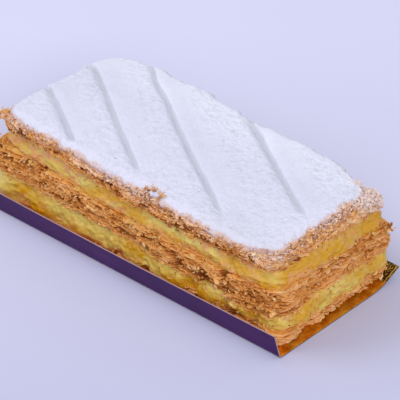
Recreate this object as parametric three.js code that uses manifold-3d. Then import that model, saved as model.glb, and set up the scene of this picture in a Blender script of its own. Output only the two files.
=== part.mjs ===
// A mille feuille slice in its folded card tray.
// Three puff pastry layers and two layers of custard cream, under a coat of icing sugar with scored grooves.
// Millimetres, +Z up, +X along the slice, +Y from the front side to the back side.
// The origin is the middle of the footprint of the whole, on the surface that the tray rests on.

import * as THREE from "three";
import { mergeVertices } from "three/addons/utils/BufferGeometryUtils.js";
import Module from "manifold-3d";

// The slice
const SLICE_LENGTH = 131.8;
const SLICE_WIDTH = 55;
const SLICE_TURN = THREE.MathUtils.degToRad(-0.8); // it lies a little askew in its tray
const SLICE_CENTRE_X = -0.6; // from the middle of the tray
const SLICE_CENTRE_Y = 32.6; // from the front fold of the tray
const CORNER_RADIUS = 5;
const GAP = 0.3; // clearance between neighbouring layers
const TOP_HEIGHT = 32.3; // of the top pastry, where the shapes below have their full strength
const LEAN = 3.4; // how far the top has slid back from the right end, at the front corner
const LEAN_SPREAD = { start: 0.1, width: 0.6 }; // shares of the width over which the slide fades to the back
const CROWN = 1.0; // how much higher the middle of the top is than its long edges
const BACK_RISE = 1.2; // how much higher the back of the top is towards the left end
const KEPT_RISE = 0.2; // share of that rise that is left at the very end
const CORNER_DROOP = 2.2; // how far the crushed corner at the right end of the back has sunk
const DROOP_REACH = 18;
const DROOP_POWER = 1.5; // of the nearness to that corner

// Heights of the five faces between the layers: along the front edge at the places FRONT_X, the last one of
// which is the corner, and along the right end at the places RIGHT_Y
const FRONT_X = [-60, -40, -16, 7, 30, 52, 65];
const RIGHT_Y = [-24, -11, 7, 20];
const BOTTOM_PASTRY_TOP = { front: [6.4, 6.2, 6.0, 6.0, 6.0, 5.8, 5.7], right: [5.7, 6.2, 6.4, 7.4] };
const LOWER_CREAM_TOP = {
  front: [14.6, 11.8, 12.2, 10.6, 9.6, 8.8, 10.2],
  right: [10.4, 12.9, 13.4, 14.2],
};
const MIDDLE_PASTRY_TOP = {
  front: [24.3, 22.9, 20.4, 20.0, 19.8, 19.8, 21.4],
  right: [21.6, 23.2, 22.9, 24.2],
};
const UPPER_CREAM_TOP = {
  front: [30.3, 30.9, 28.2, 26.3, 26.2, 27.0, 28.2],
  right: [28.6, 30.2, 31.6, 32.2],
};
const TOP_PASTRY_TOP = {
  front: [35.3, 36.0, 34.2, 32.9, 32.4, 31.4, 30.6],
  right: [30.6, 32.6, 34.4, 34.3],
};
const ROUNDING = 3; // how far apart the three places are whose mean rounds the heights between those given
const RIGHT_END = { start: 30, end: 65 }; // where the heights along the right end take over
const LEFT_BACK = { start: 10, end: -35 }; // where the back rise sets in towards the left end
const LEFT_END = { start: -42, end: -66 }; // and where it falls off again

// How far the top stands out over the back side, at places along the slice
const BACK_X = [-66, -59, -52, -43, -38, -34, -27, -2, 6, 24, 42, 49, 65];
const BACK_EDGE = [-0.5, 2.6, 2.0, 2.2, 1.0, 0.4, 3.0, 2.8, 2.2, 4.2, 2.4, -1.0, -1.2];
const BACK_POWER = { height: 1.5, across: 4 }; // of the height and of the way from the front to the back

// How far a layer sticks out at the front corner of the left end, and how far round the corner that reaches
const STICKING_OUT = { x: -66, y: -25 };
const MIDDLE_TONGUE = { far: 3.2, reach: 9 };
const LOWER_TONGUE = { far: 2.4, reach: 8 };

// The icing sugar and its grooves
const SUGAR_THICKNESS = 2.4;
const SUGAR_EDGE = 0.8; // thickness that is left at the rim
const SUGAR_INSET = 1.2; // how far the rim lies behind the side of the slice
const SUGAR_CORNER = 4; // how much further the corners are drawn in
const RETREAT_START = 0.55; // share of half the length where its drawing back from the right end sets in
const RETREAT_Y = [-27.5, -20, -5, 3, 11, 20, 26];
const SUGAR_RETREAT = [2.2, 2.2, 2.6, 2.6, 2.6, 3.8, 5.8]; // how far its rim is drawn back, at those places
const SHARE_POWER = { along: 16, across: 8 }; // how sharply the sugar's thickness falls off to its rim
const GROOVE_RADIUS = 1.4;
const GROOVE_DEPTH = 1.2;
const GROOVE_STEPS = 8;
const GROOVE_SEGMENTS = { steps: 16, curveSegments: 6 };
const GROOVE_RUNOUT = 6; // the power of the way along a groove that keeps it deep to near its front end
const GROOVES = [
  { start: [-66, -4.3], end: [-31.5, -24.2] },
  { start: [-66, 16.5], end: [-3.8, -21] },
  { start: [-55.2, 31], end: [34.5, -20.7] },
  { start: [-7.8, 31], end: [54.2, -4] },
];

// The card tray: a front flap, a floor, and a back flap that the slice presses outwards
const TRAY_LENGTH = 137;
const CARD = 0.8;
const FRONT_FLAP_RISE = 10.5;
const FRONT_FLAP_LEAN = 2.9;
const FLOOR_FLAT = 46; // from the front fold to where the card starts to curl up
const CURL_CONTROL = 5.5; // how far behind that place the curl's control point lies
const BACK_FOLD = { y: 54.4, z: 1.1 };
const BACK_FLAP_TIP = { y: 62.2, z: 4.4 };
const FOLD_RADIUS = 1.2;
const CURVE_POINTS = 5; // steps on each curve of the card

// The mesh of a layer: steps along the length and across the width, and the waves of its sides, as turns of a
// sine over half the length of a side
const STEPS_LONG = 22;
const STEPS_WIDE = 10;
const END_WAVES = 5.3;
const SIDE_WAVES = 9.7;
const FLAKY_TURNS = 1.5; // how often a pastry layer stands out on the way up its side
const CORNER_SHARPNESS = 9; // the power of the place on a face that keeps the rounding to its corners
const SAME_PLACE = 1e-4; // points nearer to each other than this are one

const { PI, abs, cos, exp, hypot, max, min, sign, sin } = Math;
const { clamp, lerp, smoothstep } = THREE.MathUtils;

// The height at a place between stops: straight from one stop to the next, and level past the last ones.
function heightAt(place, stops, heights) {
  const next = stops.findIndex((stop) => stop >= place);
  if (next <= 0) return next === 0 ? heights[0] : heights[heights.length - 1];
  const share = (place - stops[next - 1]) / (stops[next] - stops[next - 1]);
  return lerp(heights[next - 1], heights[next], share);
}

// The same, rounded by taking the mean of three places.
function eased(place, stops, heights) {
  const places = [place - ROUNDING, place, place + ROUNDING];
  return places.reduce((sum, p) => sum + heightAt(p, stops, heights), 0) / places.length;
}

// Height of the face between two layers at a place on the slice: its height along the front edge, towards the
// right end more and more of what it differs there, and a share of the crown, of the rise of the back at the
// left end and of the droop of the crushed corner. That share grows with the height.
function faceHeight({ front, right }, x, y) {
  const fromFront = eased(x, FRONT_X, front);
  const difference = eased(y, RIGHT_Y, right) - right[0];
  const level = fromFront + smoothstep(x, RIGHT_END.start, RIGHT_END.end) * difference;
  const crown = CROWN * (1 - ((2 * y) / SLICE_WIDTH) ** 2);
  const atEnd = smoothstep(-x, -LEFT_END.start, -LEFT_END.end);
  const atLeft = smoothstep(-x, -LEFT_BACK.start, -LEFT_BACK.end) * lerp(1, KEPT_RISE, atEnd);
  const rise = BACK_RISE * atLeft * smoothstep(y, -SLICE_WIDTH / 2, SLICE_WIDTH / 2);
  const fromCorner = hypot(x - SLICE_LENGTH / 2, y - SLICE_WIDTH / 2) / DROOP_REACH;
  const droop = CORNER_DROOP * max(0, 1 - fromCorner) ** DROOP_POWER;
  return level + (level / TOP_HEIGHT) ** 2 * (crown + rise - droop);
}

// The inner line of the card, from the top of the front flap to the tip of the back flap.
function cardLine() {
  const lean = FRONT_FLAP_LEAN / FRONT_FLAP_RISE;
  const line = new THREE.CurvePath();
  const at = (y, z) => new THREE.Vector2(y, z + CARD);
  const flapTop = at(-FRONT_FLAP_LEAN, FRONT_FLAP_RISE - CARD);
  const flapFoot = at(-lean * FOLD_RADIUS, FOLD_RADIUS);
  const floorStart = at(FOLD_RADIUS, 0);
  const floorEnd = at(FLOOR_FLAT, 0);
  const backFold = at(BACK_FOLD.y, BACK_FOLD.z);
  line.add(new THREE.LineCurve(flapTop, flapFoot));
  line.add(new THREE.QuadraticBezierCurve(flapFoot, at(0, 0), floorStart));
  line.add(new THREE.LineCurve(floorStart, floorEnd));
  line.add(new THREE.QuadraticBezierCurve(floorEnd, at(FLOOR_FLAT + CURL_CONTROL, 0), backFold));
  line.add(new THREE.LineCurve(backFold, at(BACK_FLAP_TIP.y, BACK_FLAP_TIP.z)));
  return line;
}

// Points along the card line: some on each curve, and the ends of each straight stretch.
function cardPoints(line) {
  const points = line.curves.flatMap((curve) => curve.getPoints(curve.isLineCurve ? 1 : CURVE_POINTS));
  return points.filter((p, i) => i === 0 || p.distanceTo(points[i - 1]) > SAME_PLACE);
}

const CARD_POINTS = cardPoints(cardLine());

// Height of the card's upper face at a distance behind the front fold.
function cardHeight(y) {
  const i = CARD_POINTS.findIndex((p, n) => n > 0 && p.x >= y && p.x > CARD_POINTS[n - 1].x);
  const end = i > 0 ? i : CARD_POINTS.length - 1;
  const [a, b] = [CARD_POINTS[end - 1], CARD_POINTS[end]];
  return y < a.x ? CARD : a.y + ((b.y - a.y) * (y - a.x)) / (b.x - a.x);
}

// Height of the underside of the slice, which lies on the card and is pushed up where the card curls.
function bedHeight(x, y) {
  const behindFold = SLICE_CENTRE_Y + x * sin(SLICE_TURN) + y * cos(SLICE_TURN);
  return cardHeight(behindFold);
}

// A layer: a box whose faces are bent to the heights below and above it. Its sides follow the outline of
// the slice, set in or out by edge, with waves along them. step(w) moves each row of the side, and at the
// front corner of the left end it may stick out in a tongue. cornerCut(u, v) draws its corners in, and
// retreat(u, v) moves its places to the left.
function layerGeometry({ rows, below, above, edge, wobble, phase, step, tongue, cornerCut, retreat }) {
  const geometry = new THREE.BoxGeometry(2, 2, 1, STEPS_LONG, STEPS_WIDE, rows);
  const place = geometry.getAttribute("position");
  for (let i = 0; i < place.count; i++) {
    const [u, v, w] = [place.getX(i), place.getY(i), place.getZ(i) + 0.5];
    const out = edge + step(w) + (tongue ? standOut(tongue, u, v) : 0);
    const corner = (cornerCut ?? roundCorner)(u, v);
    const endWave = wobble * sin(END_WAVES * v + phase);
    const sideWave = wobble * sin(SIDE_WAVES * u + 2 * phase);
    const x = u * (SLICE_LENGTH / 2 + out + endWave) - corner * sign(u) - (retreat?.(u, v) ?? 0);
    const y = v * (SLICE_WIDTH / 2 + out + sideWave) - corner * sign(v);
    const z = lerp(below(x, y) + GAP / 2, above(x, y, u, v) - GAP / 2, w);
    place.setXYZ(i, ...settled(x, y, z));
  }
  geometry.deleteAttribute("normal");
  geometry.deleteAttribute("uv");
  return mergeVertices(geometry, SAME_PLACE);
}

// A bell round the front corner of the left end.
function standOut({ far, reach }, u, v) {
  const away = hypot((u * SLICE_LENGTH) / 2 - STICKING_OUT.x, (v * SLICE_WIDTH) / 2 - STICKING_OUT.y);
  return far * exp(-((away / reach) ** 2));
}

function roundCorner(u, v) {
  return (1 - Math.SQRT1_2) * CORNER_RADIUS * abs(u * v) ** CORNER_SHARPNESS;
}

// Where a place of the straight slice has settled to. The top of the front corner at the right end has slid
// to the left, in proportion to the height, and the top stands out over the back side.
function settled(x, y, z) {
  const height = z / TOP_HEIGHT;
  const along = x / SLICE_LENGTH;
  const across = y / SLICE_WIDTH;
  const nearFront = clamp((LEAN_SPREAD.start - across) / LEAN_SPREAD.width, 0, 1);
  const slide = LEAN * height * clamp(0.5 + along, 0, 1) * nearFront ** 2;
  const atBack = clamp(0.5 + across, 0, 1) ** BACK_POWER.across;
  const behind = eased(x, BACK_X, BACK_EDGE) * height ** BACK_POWER.height * atBack;
  return [x - slide, y + behind, z];
}

// Rows of flaky pastry stand out and in by turns, and cream swells between its edges.
const flaky = (depth) => (w) => depth * cos(2 * PI * FLAKY_TURNS * w);
const swelling = (depth) => (w) => depth * sin(PI * w);

// Share of the full thickness of the icing sugar, which falls away over the edge of the top pastry: along has
// the higher power, because the slice is longer than it is wide.
function sugarShare(u, v) {
  return (1 - abs(u) ** SHARE_POWER.along) * (1 - abs(v) ** SHARE_POWER.across);
}

function sugarHeight(x, y, u, v) {
  const thickness = lerp(SUGAR_EDGE, SUGAR_THICKNESS, sugarShare(u, v));
  return faceHeight(TOP_PASTRY_TOP, x, y) + thickness + GAP;
}

// The sugar's corners are drawn in further than the slice's.
function sugarCorner(u, v) {
  return SUGAR_CORNER * abs(u * v) ** CORNER_SHARPNESS;
}

// Its rim is drawn back from the right end, and most over the crushed corner.
function sugarRetreat(u, v) {
  return smoothstep(u, RETREAT_START, 1) * eased((v * SLICE_WIDTH) / 2, RETREAT_Y, SUGAR_RETREAT);
}

// A rod that lies in the top of the sugar along one groove, and is cut out of it. It rises out of the sugar
// towards the groove's front end.
function grooveGeometry({ start, end }) {
  const section = new THREE.Shape();
  section.absarc(0, 0, GROOVE_RADIUS, 0, 2 * PI);
  const stops = Array.from({ length: GROOVE_STEPS + 1 }, (_, i) => {
    const share = i / GROOVE_STEPS;
    const [x, y] = [lerp(start[0], end[0], share), lerp(start[1], end[1], share)];
    const inside = max(0, sugarShare((2 * x) / SLICE_LENGTH, (2 * y) / SLICE_WIDTH));
    const surface = faceHeight(TOP_PASTRY_TOP, x, y) + lerp(SUGAR_EDGE, SUGAR_THICKNESS, inside);
    const lift = GROOVE_RADIUS - GROOVE_DEPTH * (1 - share ** GROOVE_RUNOUT);
    return new THREE.Vector3(...settled(x, y, surface + lift));
  });
  const extrudePath = new THREE.CatmullRomCurve3(stops);
  const options = { ...GROOVE_SEGMENTS, bevelEnabled: false, extrudePath };
  const geometry = new THREE.ExtrudeGeometry(section, options);
  geometry.deleteAttribute("normal");
  geometry.deleteAttribute("uv");
  return mergeVertices(geometry, SAME_PLACE);
}

const wasm = await Module();
wasm.setup();

function toSolid(geometry) {
  const vertProperties = new Float32Array(geometry.getAttribute("position").array);
  const triVerts = new Uint32Array(geometry.index.array);
  return new wasm.Manifold(new wasm.Mesh({ numProp: 3, vertProperties, triVerts }));
}

function toGeometry(solid) {
  const { vertProperties, triVerts } = solid.getMesh();
  const geometry = new THREE.BufferGeometry();
  geometry.setAttribute("position", new THREE.BufferAttribute(vertProperties, 3));
  geometry.setIndex(new THREE.BufferAttribute(triVerts, 1));
  geometry.computeVertexNormals();
  return geometry;
}

function named(name, geometry, colour, roughness) {
  const material = new THREE.MeshStandardMaterial({ color: colour, roughness, metalness: 0 });
  const mesh = new THREE.Mesh(geometry, material);
  mesh.name = name;
  return mesh;
}

const between = (face) => (x, y) => faceHeight(face, x, y);
const PASTRY_COLOUR = 0xc98f5a;
const CREAM_COLOUR = 0xcda544;
const SUGAR_COLOUR = 0xe4e6f4;
const CARD_COLOUR = 0x4a3060;

function pastryLayer(name, shape) {
  const sides = { rows: 4, wobble: 0.5, step: flaky(0.5) };
  return named(name, layerGeometry({ ...sides, ...shape }), PASTRY_COLOUR, 0.85);
}

function creamLayer(name, shape) {
  const sides = { rows: 3, wobble: 0.8, step: swelling(0.8) };
  return named(name, layerGeometry({ ...sides, ...shape }), CREAM_COLOUR, 0.4);
}

function icingSugar() {
  const shape = {
    rows: 2,
    below: between(TOP_PASTRY_TOP),
    above: sugarHeight,
    edge: -SUGAR_INSET,
    wobble: 0.6,
    phase: 0.7,
    step: swelling(0.4),
    cornerCut: sugarCorner,
    retreat: sugarRetreat,
  };
  const coat = toSolid(layerGeometry(shape));
  const scored = GROOVES.reduce((rest, groove) => rest.subtract(toSolid(grooveGeometry(groove))), coat);
  return named("icing_sugar", toGeometry(scored), SUGAR_COLOUR, 0.95);
}

// The card is one thickness all the way: its outer line is the inner one moved out by the thickness.
function cardTray() {
  const outer = CARD_POINTS.map((p, i) => {
    const before = CARD_POINTS[max(i - 1, 0)];
    const after = CARD_POINTS[min(i + 1, CARD_POINTS.length - 1)];
    const run = after.clone().sub(before).normalize();
    return new THREE.Vector2(p.x + run.y * CARD, max(0, p.y - run.x * CARD));
  });
  const profile = new THREE.Shape([...CARD_POINTS, ...outer.reverse()]);
  const geometry = new THREE.ExtrudeGeometry(profile, { depth: TRAY_LENGTH, bevelEnabled: false });
  const [alongX, acrossY, upZ] = [0, 1, 2].map((axis) => new THREE.Vector3().setComponent(axis, 1));
  geometry.applyMatrix4(new THREE.Matrix4().makeBasis(acrossY, upZ, alongX));
  geometry.translate(-TRAY_LENGTH / 2, 0, 0);
  return named("card_tray", geometry, CARD_COLOUR, 0.5);
}

const slice = new THREE.Group();
slice.position.set(SLICE_CENTRE_X, SLICE_CENTRE_Y, 0);
slice.rotation.z = SLICE_TURN;
slice.add(
  pastryLayer("bottom_pastry", {
    below: bedHeight,
    above: between(BOTTOM_PASTRY_TOP),
    edge: 0.4,
    phase: 0.3,
  }),
  creamLayer("lower_cream", {
    below: between(BOTTOM_PASTRY_TOP),
    above: between(LOWER_CREAM_TOP),
    edge: -0.2,
    phase: 1.4,
    tongue: LOWER_TONGUE,
  }),
  pastryLayer("middle_pastry", {
    below: between(LOWER_CREAM_TOP),
    above: between(MIDDLE_PASTRY_TOP),
    edge: 0.8,
    phase: 2.6,
    tongue: MIDDLE_TONGUE,
  }),
  creamLayer("upper_cream", {
    below: between(MIDDLE_PASTRY_TOP),
    above: between(UPPER_CREAM_TOP),
    edge: -1.0,
    phase: 3.7,
  }),
  pastryLayer("top_pastry", {
    below: between(UPPER_CREAM_TOP),
    above: between(TOP_PASTRY_TOP),
    edge: 0.4,
    phase: 4.9,
  }),
  icingSugar(),
);

const tray = cardTray();
const group = new THREE.Group();
group.add(tray, slice);

// The origin goes to the middle of the footprint.
const middle = new THREE.Box3().setFromObject(group, true).getCenter(new THREE.Vector3());
tray.position.set(-middle.x, -middle.y, 0);
slice.position.x -= middle.x;
slice.position.y -= middle.y;

export default group;
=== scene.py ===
"""A mille feuille slice in its folded card tray, laid out as an add-on and run as a script.

Three layers of flaky puff pastry and two of custard cream lie under a coat of icing sugar with scored
grooves. Every new piece is a surface worked out with numpy in metres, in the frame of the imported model: +X
along the slice, +Y from the standing front flap of the card to its pressed-out back flap, +Z up.
"""

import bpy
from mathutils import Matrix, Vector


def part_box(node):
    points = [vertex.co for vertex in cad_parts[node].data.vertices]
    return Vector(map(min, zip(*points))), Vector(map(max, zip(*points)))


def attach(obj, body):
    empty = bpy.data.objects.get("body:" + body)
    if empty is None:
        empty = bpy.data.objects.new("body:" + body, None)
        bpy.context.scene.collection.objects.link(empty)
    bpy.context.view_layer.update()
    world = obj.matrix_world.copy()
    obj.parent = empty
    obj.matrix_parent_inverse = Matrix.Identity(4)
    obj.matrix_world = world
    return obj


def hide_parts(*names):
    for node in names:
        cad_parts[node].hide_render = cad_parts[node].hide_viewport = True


bl_info = {
    "name": "Mille Feuille Slice",
    "version": (1, 0, 0),
    "blender": (4, 5, 0),
    "location": "3D View > Sidebar > Slice",
    "description": "Builds a mille feuille slice of pastry, custard cream and icing sugar in a card tray",
    "category": "Mesh",
}

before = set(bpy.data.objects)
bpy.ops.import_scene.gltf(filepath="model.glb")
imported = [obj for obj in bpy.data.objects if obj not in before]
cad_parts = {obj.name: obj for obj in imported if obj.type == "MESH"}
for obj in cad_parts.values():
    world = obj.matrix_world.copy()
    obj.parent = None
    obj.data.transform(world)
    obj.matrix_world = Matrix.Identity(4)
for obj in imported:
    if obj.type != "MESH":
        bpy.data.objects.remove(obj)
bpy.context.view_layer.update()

import math

import bpy
import numpy as np
from bpy.props import FloatProperty, FloatVectorProperty, PointerProperty
from mathutils import Vector

MM = 0.001
TRAY_LOW, TRAY_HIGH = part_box("card_tray")

SENSOR_WIDTH = 36.0
TURN = 2 * math.pi


def linear(text):
    """The linear colour of a hex colour: each channel of the display colour raised to the display's curve."""
    channels = [int(text[i : i + 2], 16) / 255 for i in (1, 3, 5)]
    return [c / 12.92 if c <= 0.04045 else ((c + 0.055) / 1.055) ** 2.4 for c in channels] + [1.0]


def tinted(colour, factor):
    """A colour times a factor, or times one factor for each channel, with no channel over 1."""
    return [*np.minimum(np.array(colour[:3]) * factor, 1), 1.0]


# ---- Sizes and colours ----


def measure(name, description, millimetres):
    return FloatProperty(
        name=name, description=description, default=millimetres * MM, unit="LENGTH", precision=5
    )


def angle(name, description, degrees):
    return FloatProperty(name=name, description=description, default=math.radians(degrees), subtype="ANGLE")


def tint(name, description, text):
    return FloatVectorProperty(
        name=name, description=description, default=linear(text), size=4, min=0, max=1, subtype="COLOR"
    )


class SliceSizes(bpy.types.PropertyGroup):
    """Sizes of the slice and of its layers"""

    length: measure("Length", "Length of the slice at its bottom", 131.8)
    centre_x: measure("Middle", "How far the middle of the slice lies from the middle of the tray", -0.6)
    width: measure("Width", "Width of the slice", 55)
    corner: measure("Corner radius", "Radius of the slice's upright corners at the top", 6)
    square: measure("Square corners", "How much further the corners stand out at the bottom", 1.8)
    lean: measure("Lean", "How far the top has slid back at the front corner of the right end", 3.4)
    crown: measure("Crown", "How much higher the middle of the top is than its long edges", 1.0)
    back_rise: measure("Back rise", "How much higher the back of the top is towards the left end", 1.2)
    droop: measure("Droop", "How far the crushed back corner at the right end has sunk", 2.2)
    droop_reach: measure("Droop reach", "How far from that corner the droop reaches", 18)
    uneven: measure("Unevenness", "Height of the short unevenness of the faces between layers", 0.65)
    turn: angle("Turn", "How far the slice lies askew in its tray", -0.8)
    centre_y: measure("Centre", "Distance from the card's front fold to the middle of the slice", 32.6)
    sugar: measure("Sugar thickness", "Thickness of the icing sugar", 2.3)
    sugar_rim: measure("Sugar rim", "Thickness of the icing sugar at its rim", 0.4)
    sugar_rim_right: measure("Right sugar rim", "How much thicker the sugar's rim is at the right end", 1.0)
    groove_slope: measure("Groove slope", "Width of a groove's gentle wall", 1.6)
    groove_step: measure("Groove step", "Width of a groove's steep wall", 0.45)
    groove_depth: measure("Groove depth", "Depth of the grooves scored in the sugar", 1.7)
    flake_length: measure("Flake length", "Length of a middling flake of pastry", 1.5)


class CardSizes(bpy.types.PropertyGroup):
    """Sizes of the folded card tray"""

    thickness: measure("Thickness", "Thickness of the card", 0.45)
    flap_rise: measure("Front flap height", "Height of the standing front flap", 10.5)
    flap_lean: measure("Front flap lean", "How far the top of the front flap leans out", 2.9)
    flat: measure("Flat floor", "Distance from the front fold to where the card curls up", 46)
    fold_y: measure("Back fold", "Distance from the front fold to the back one", 54.4)
    fold_z: measure("Back fold height", "Height of the back fold over the table", 1.1)
    tip_y: measure("Back flap tip", "Distance from the front fold to the tip of the back flap", 62.2)
    tip_z: measure("Back flap tip height", "Height of the back flap's tip over the table", 4.4)


class SliceColours(bpy.types.PropertyGroup):
    """Colours of the food, the card and the table"""

    # The crack colour, at the low end of the pastry's tone ramp, is partly dark crust and partly painted
    # shade for cracks, hollows and set-back parts
    crack: tint("Crack", "Pastry deep in a crack", "#7a3a0c")
    crust: tint("Crust", "Dark baked pastry", "#cd8034")
    golden: tint("Golden", "Middling baked pastry", "#eaa95d")
    pale: tint("Pale", "Pale pastry at a fresh break", "#f3c594")
    cream: tint("Cream", "Custard cream in a thick place", "#ddc86a")
    custard: tint("Deep cream", "Custard cream in a deep place", "#d29d0e")
    soaked: tint("Soaked", "Cream smeared with pastry", "#dba063")
    sugar: tint("Sugar", "Icing sugar", "#e2e4f7")
    dusted: tint("Dusted", "Pastry under a dusting of sugar", "#f2dcd4")
    seen_through: tint("Seen through", "Pastry showing through thin sugar", "#d6a17c")
    purple: tint("Purple", "Outer face of the card", "#4a2460")
    gold: tint("Gold", "Inner face of the card", "#ffc23c")
    print_ground: tint("Print ground", "Dark ground of the gold curls on the back flap", "#3a2c08")
    # Amber and dark amber also carry the painted shade that darkens the foil away from the right end
    amber: tint("Amber", "Darker patches of the inner face of the card", "#e2860c")
    dark_amber: tint("Dark amber", "Darkest patches of the inner face of the card", "#884606")
    curl: tint("Curl", "Gold curls printed on the back flap", "#d8a83c")
    # The darker cut edge, used from the front fold back over the floor and the back flap
    cut_edge: tint("Cut edge", "Cut edge of the card", "#b8979a")
    dark_cut_edge: tint("Greasy edge", "Cut edge of the card where fat has soaked in", "#5c4530")
    table: tint("Table", "Table and backdrop", "#dedff9")


class ViewSettings(bpy.types.PropertyGroup):
    """Where the camera stands"""

    azimuth: angle("Azimuth", "Direction to the camera round the slice", 42.1)
    elevation: angle("Elevation", "Height of the camera over the horizon", 33)
    distance: measure("Distance", "Distance from the camera to its target", 850)
    lens: FloatProperty(name="Lens", description="Focal length in millimetres", default=221.1)
    target: FloatVectorProperty(
        name="Target",
        description="Place that the camera looks at, from the middle of the card's front fold",
        default=(3.8 * MM, 32.33 * MM, 18 * MM),
        unit="LENGTH",
    )


def sizes():
    return bpy.context.scene.slice_sizes


def card():
    return bpy.context.scene.card_sizes


def colours():
    return bpy.context.scene.slice_colours


# Top faces of the layers from the lowest up, all in millimetres: their heights along the front edge at the
# places FRONT_X, the last one being the corner, and their heights along the right end at the places RIGHT_Y
FRONT_X = (-60, -40, -16, 7, 30, 52, 65)
RIGHT_Y = (-24, -11, 7, 20)
FACES = {
    "bottom_pastry": ((6.4, 6.2, 6.0, 6.0, 6.0, 5.8, 5.7), (5.7, 6.2, 6.4, 7.4)),
    "lower_cream": ((14.6, 11.8, 12.2, 10.6, 9.6, 8.8, 10.2), (10.4, 12.9, 13.4, 14.2)),
    "middle_pastry": ((24.3, 22.9, 20.4, 20.0, 19.8, 19.8, 21.4), (21.6, 23.2, 22.9, 24.2)),
    "upper_cream": ((30.3, 30.9, 28.2, 26.3, 26.2, 27.0, 28.2), (28.6, 30.2, 31.6, 32.2)),
    "top_pastry": ((35.3, 36.0, 34.2, 32.9, 32.4, 31.4, 30.6), (30.6, 32.6, 34.4, 34.3)),
}
TOP = "top_pastry"
TOP_HEIGHT = 32.3 * MM

# How far the top stands out behind the slice, in millimetres, at places along the slice
BACK_X = (-66, -59, -52, -43, -38, -34, -27, -2, 6, 24, 42, 49, 65)
BACK_EDGE = (-0.5, 2.6, 2.0, 2.2, 1.0, 0.4, 3.0, 2.8, 2.2, 4.2, 2.4, -1.0, -1.2)


# ---- Curves and noise ----

# Large odd numbers that mix a lattice point's coordinates, its seed and their sum
LATTICE_FACTORS = np.array([374761393, 668265263, 974634777])
SEED_FACTOR = 69069
MIXING_FACTOR = 1274126177
WORD = 0xFFFFFFFF
HALF_WORD = 0xFFFF


def smooth_step(value, low, high):
    """0 below low, 1 above high, eased between them by 3t^2 - 2t^3."""
    t = np.clip((value - low) / (high - low), 0, 1)
    return t * t * (3 - 2 * t)


def rising(value, low, high):
    """The smooth step of a length between two lengths in millimetres."""
    return smooth_step(value, low * MM, high * MM)


def near_end(x, low, high):
    """The smooth step of X between two shares of the slice's length, of which half is the right end."""
    return smooth_step(x, low * sizes().length, high * sizes().length)


def bell(value, middle, half):
    """1 at the middle and e times less at half on either side of it: exp of minus the square of the distance
    from the middle over half."""
    return np.exp(-(((value - middle) / half) ** 2))


def scramble(cell, seed):
    """One repeatable number from 0 to 1 for each lattice point: its whole coordinates times large odd
    numbers, summed and mixed by shifts within 32 bits."""
    mixed = (cell @ LATTICE_FACTORS + seed * SEED_FACTOR) & WORD
    mixed = ((mixed ^ (mixed >> 13)) * MIXING_FACTOR) & WORD
    return ((mixed ^ (mixed >> 16)) & HALF_WORD) / HALF_WORD


def noise(places, size, seed):
    """Smooth noise from -1 to 1: a random number at each corner of a lattice of cells of that size in
    millimetres (one number, or one for each axis), eased from corner to corner by 3t^2 - 2t^3."""
    scaled = places / (np.asarray(size, float) * MM)
    cell = np.floor(scaled).astype(np.int64)
    part = scaled - cell
    part = part * part * (3 - 2 * part)
    total = np.zeros(places.shape[:-1])
    for corner in np.ndindex(2, 2, 2):
        weight = np.prod(np.where(corner, part, 1 - part), axis=-1)
        total += weight * scramble(cell + corner, seed)
    return 2 * total - 1


def layered_noise(places, size, seed, octaves=3, keep=0.5):
    """Sum of noises, each at half the size of the last and with keep times its strength."""
    size = np.asarray(size, float)
    return sum(keep**i * noise(places, size / 2**i, seed + i) for i in range(octaves))


def broken_line(share, pieces, rng):
    """A closed jagged line from -1 to 1 over share 0 to 1: straight from one random height to the next, at
    so many uneven steps."""
    stops = np.sort(rng.random(pieces))
    heights = rng.uniform(-1, 1, pieces)
    return np.interp(share, stops, heights, period=1)


def eased(value, stops, heights):
    """Straight lines between heights at stops, rounded by taking the mean of three places 3 mm apart."""
    shifts = (-3 * MM, 0, 3 * MM)
    return sum(np.interp(value + shift, np.array(stops) * MM, np.array(heights) * MM) for shift in shifts) / 3


def flat_places(x, y):
    """Places at height 0."""
    return np.stack([x, y, 0 * x], -1)


def unit(vectors):
    """Vectors of length 1 in the same directions."""
    return vectors / np.linalg.norm(vectors, axis=1, keepdims=True)


# ---- The shape of the slice ----


def tray_middle():
    return (TRAY_LOW.x + TRAY_HIGH.x) / 2


def fold_y():
    """The card's front fold in the row frame: the front flap's outer top edge is the tray's lowest Y."""
    slope = card().flap_lean / card().flap_rise
    return TRAY_LOW.y + card().flap_lean + card().thickness / math.hypot(1, slope)


def outline(share, grow):
    """Places and outward directions on the slice's outline at shares 0 to 1 of its length: a rectangle with
    round corners, walked anticlockwise from the middle of the right end and grown by grow. The outward
    direction turns only on the corner arcs, and the arc's centre moves only on the straight sides."""
    radius = sizes().corner
    a, b = sizes().length / 2 - radius, sizes().width / 2 - radius
    arc = math.pi / 2 * radius
    stops = np.cumsum([0, b, arc, 2 * a, arc, 2 * b, arc, 2 * a, arc, b])
    along = np.mod(share, 1) * stops[-1]
    turn = np.interp(along, stops, np.radians([0, 0, 90, 90, 180, 180, 270, 270, 360, 360]))
    centre_x = np.interp(along, stops, [a, a, a, -a, -a, -a, -a, a, a, a])
    centre_y = np.interp(along, stops, [0, b, b, b, b, -b, -b, -b, -b, 0])
    out = np.stack([np.cos(turn), np.sin(turn)], -1)
    return np.stack([centre_x, centre_y], -1) + out * (radius + np.asarray(grow)[..., None]), out


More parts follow.
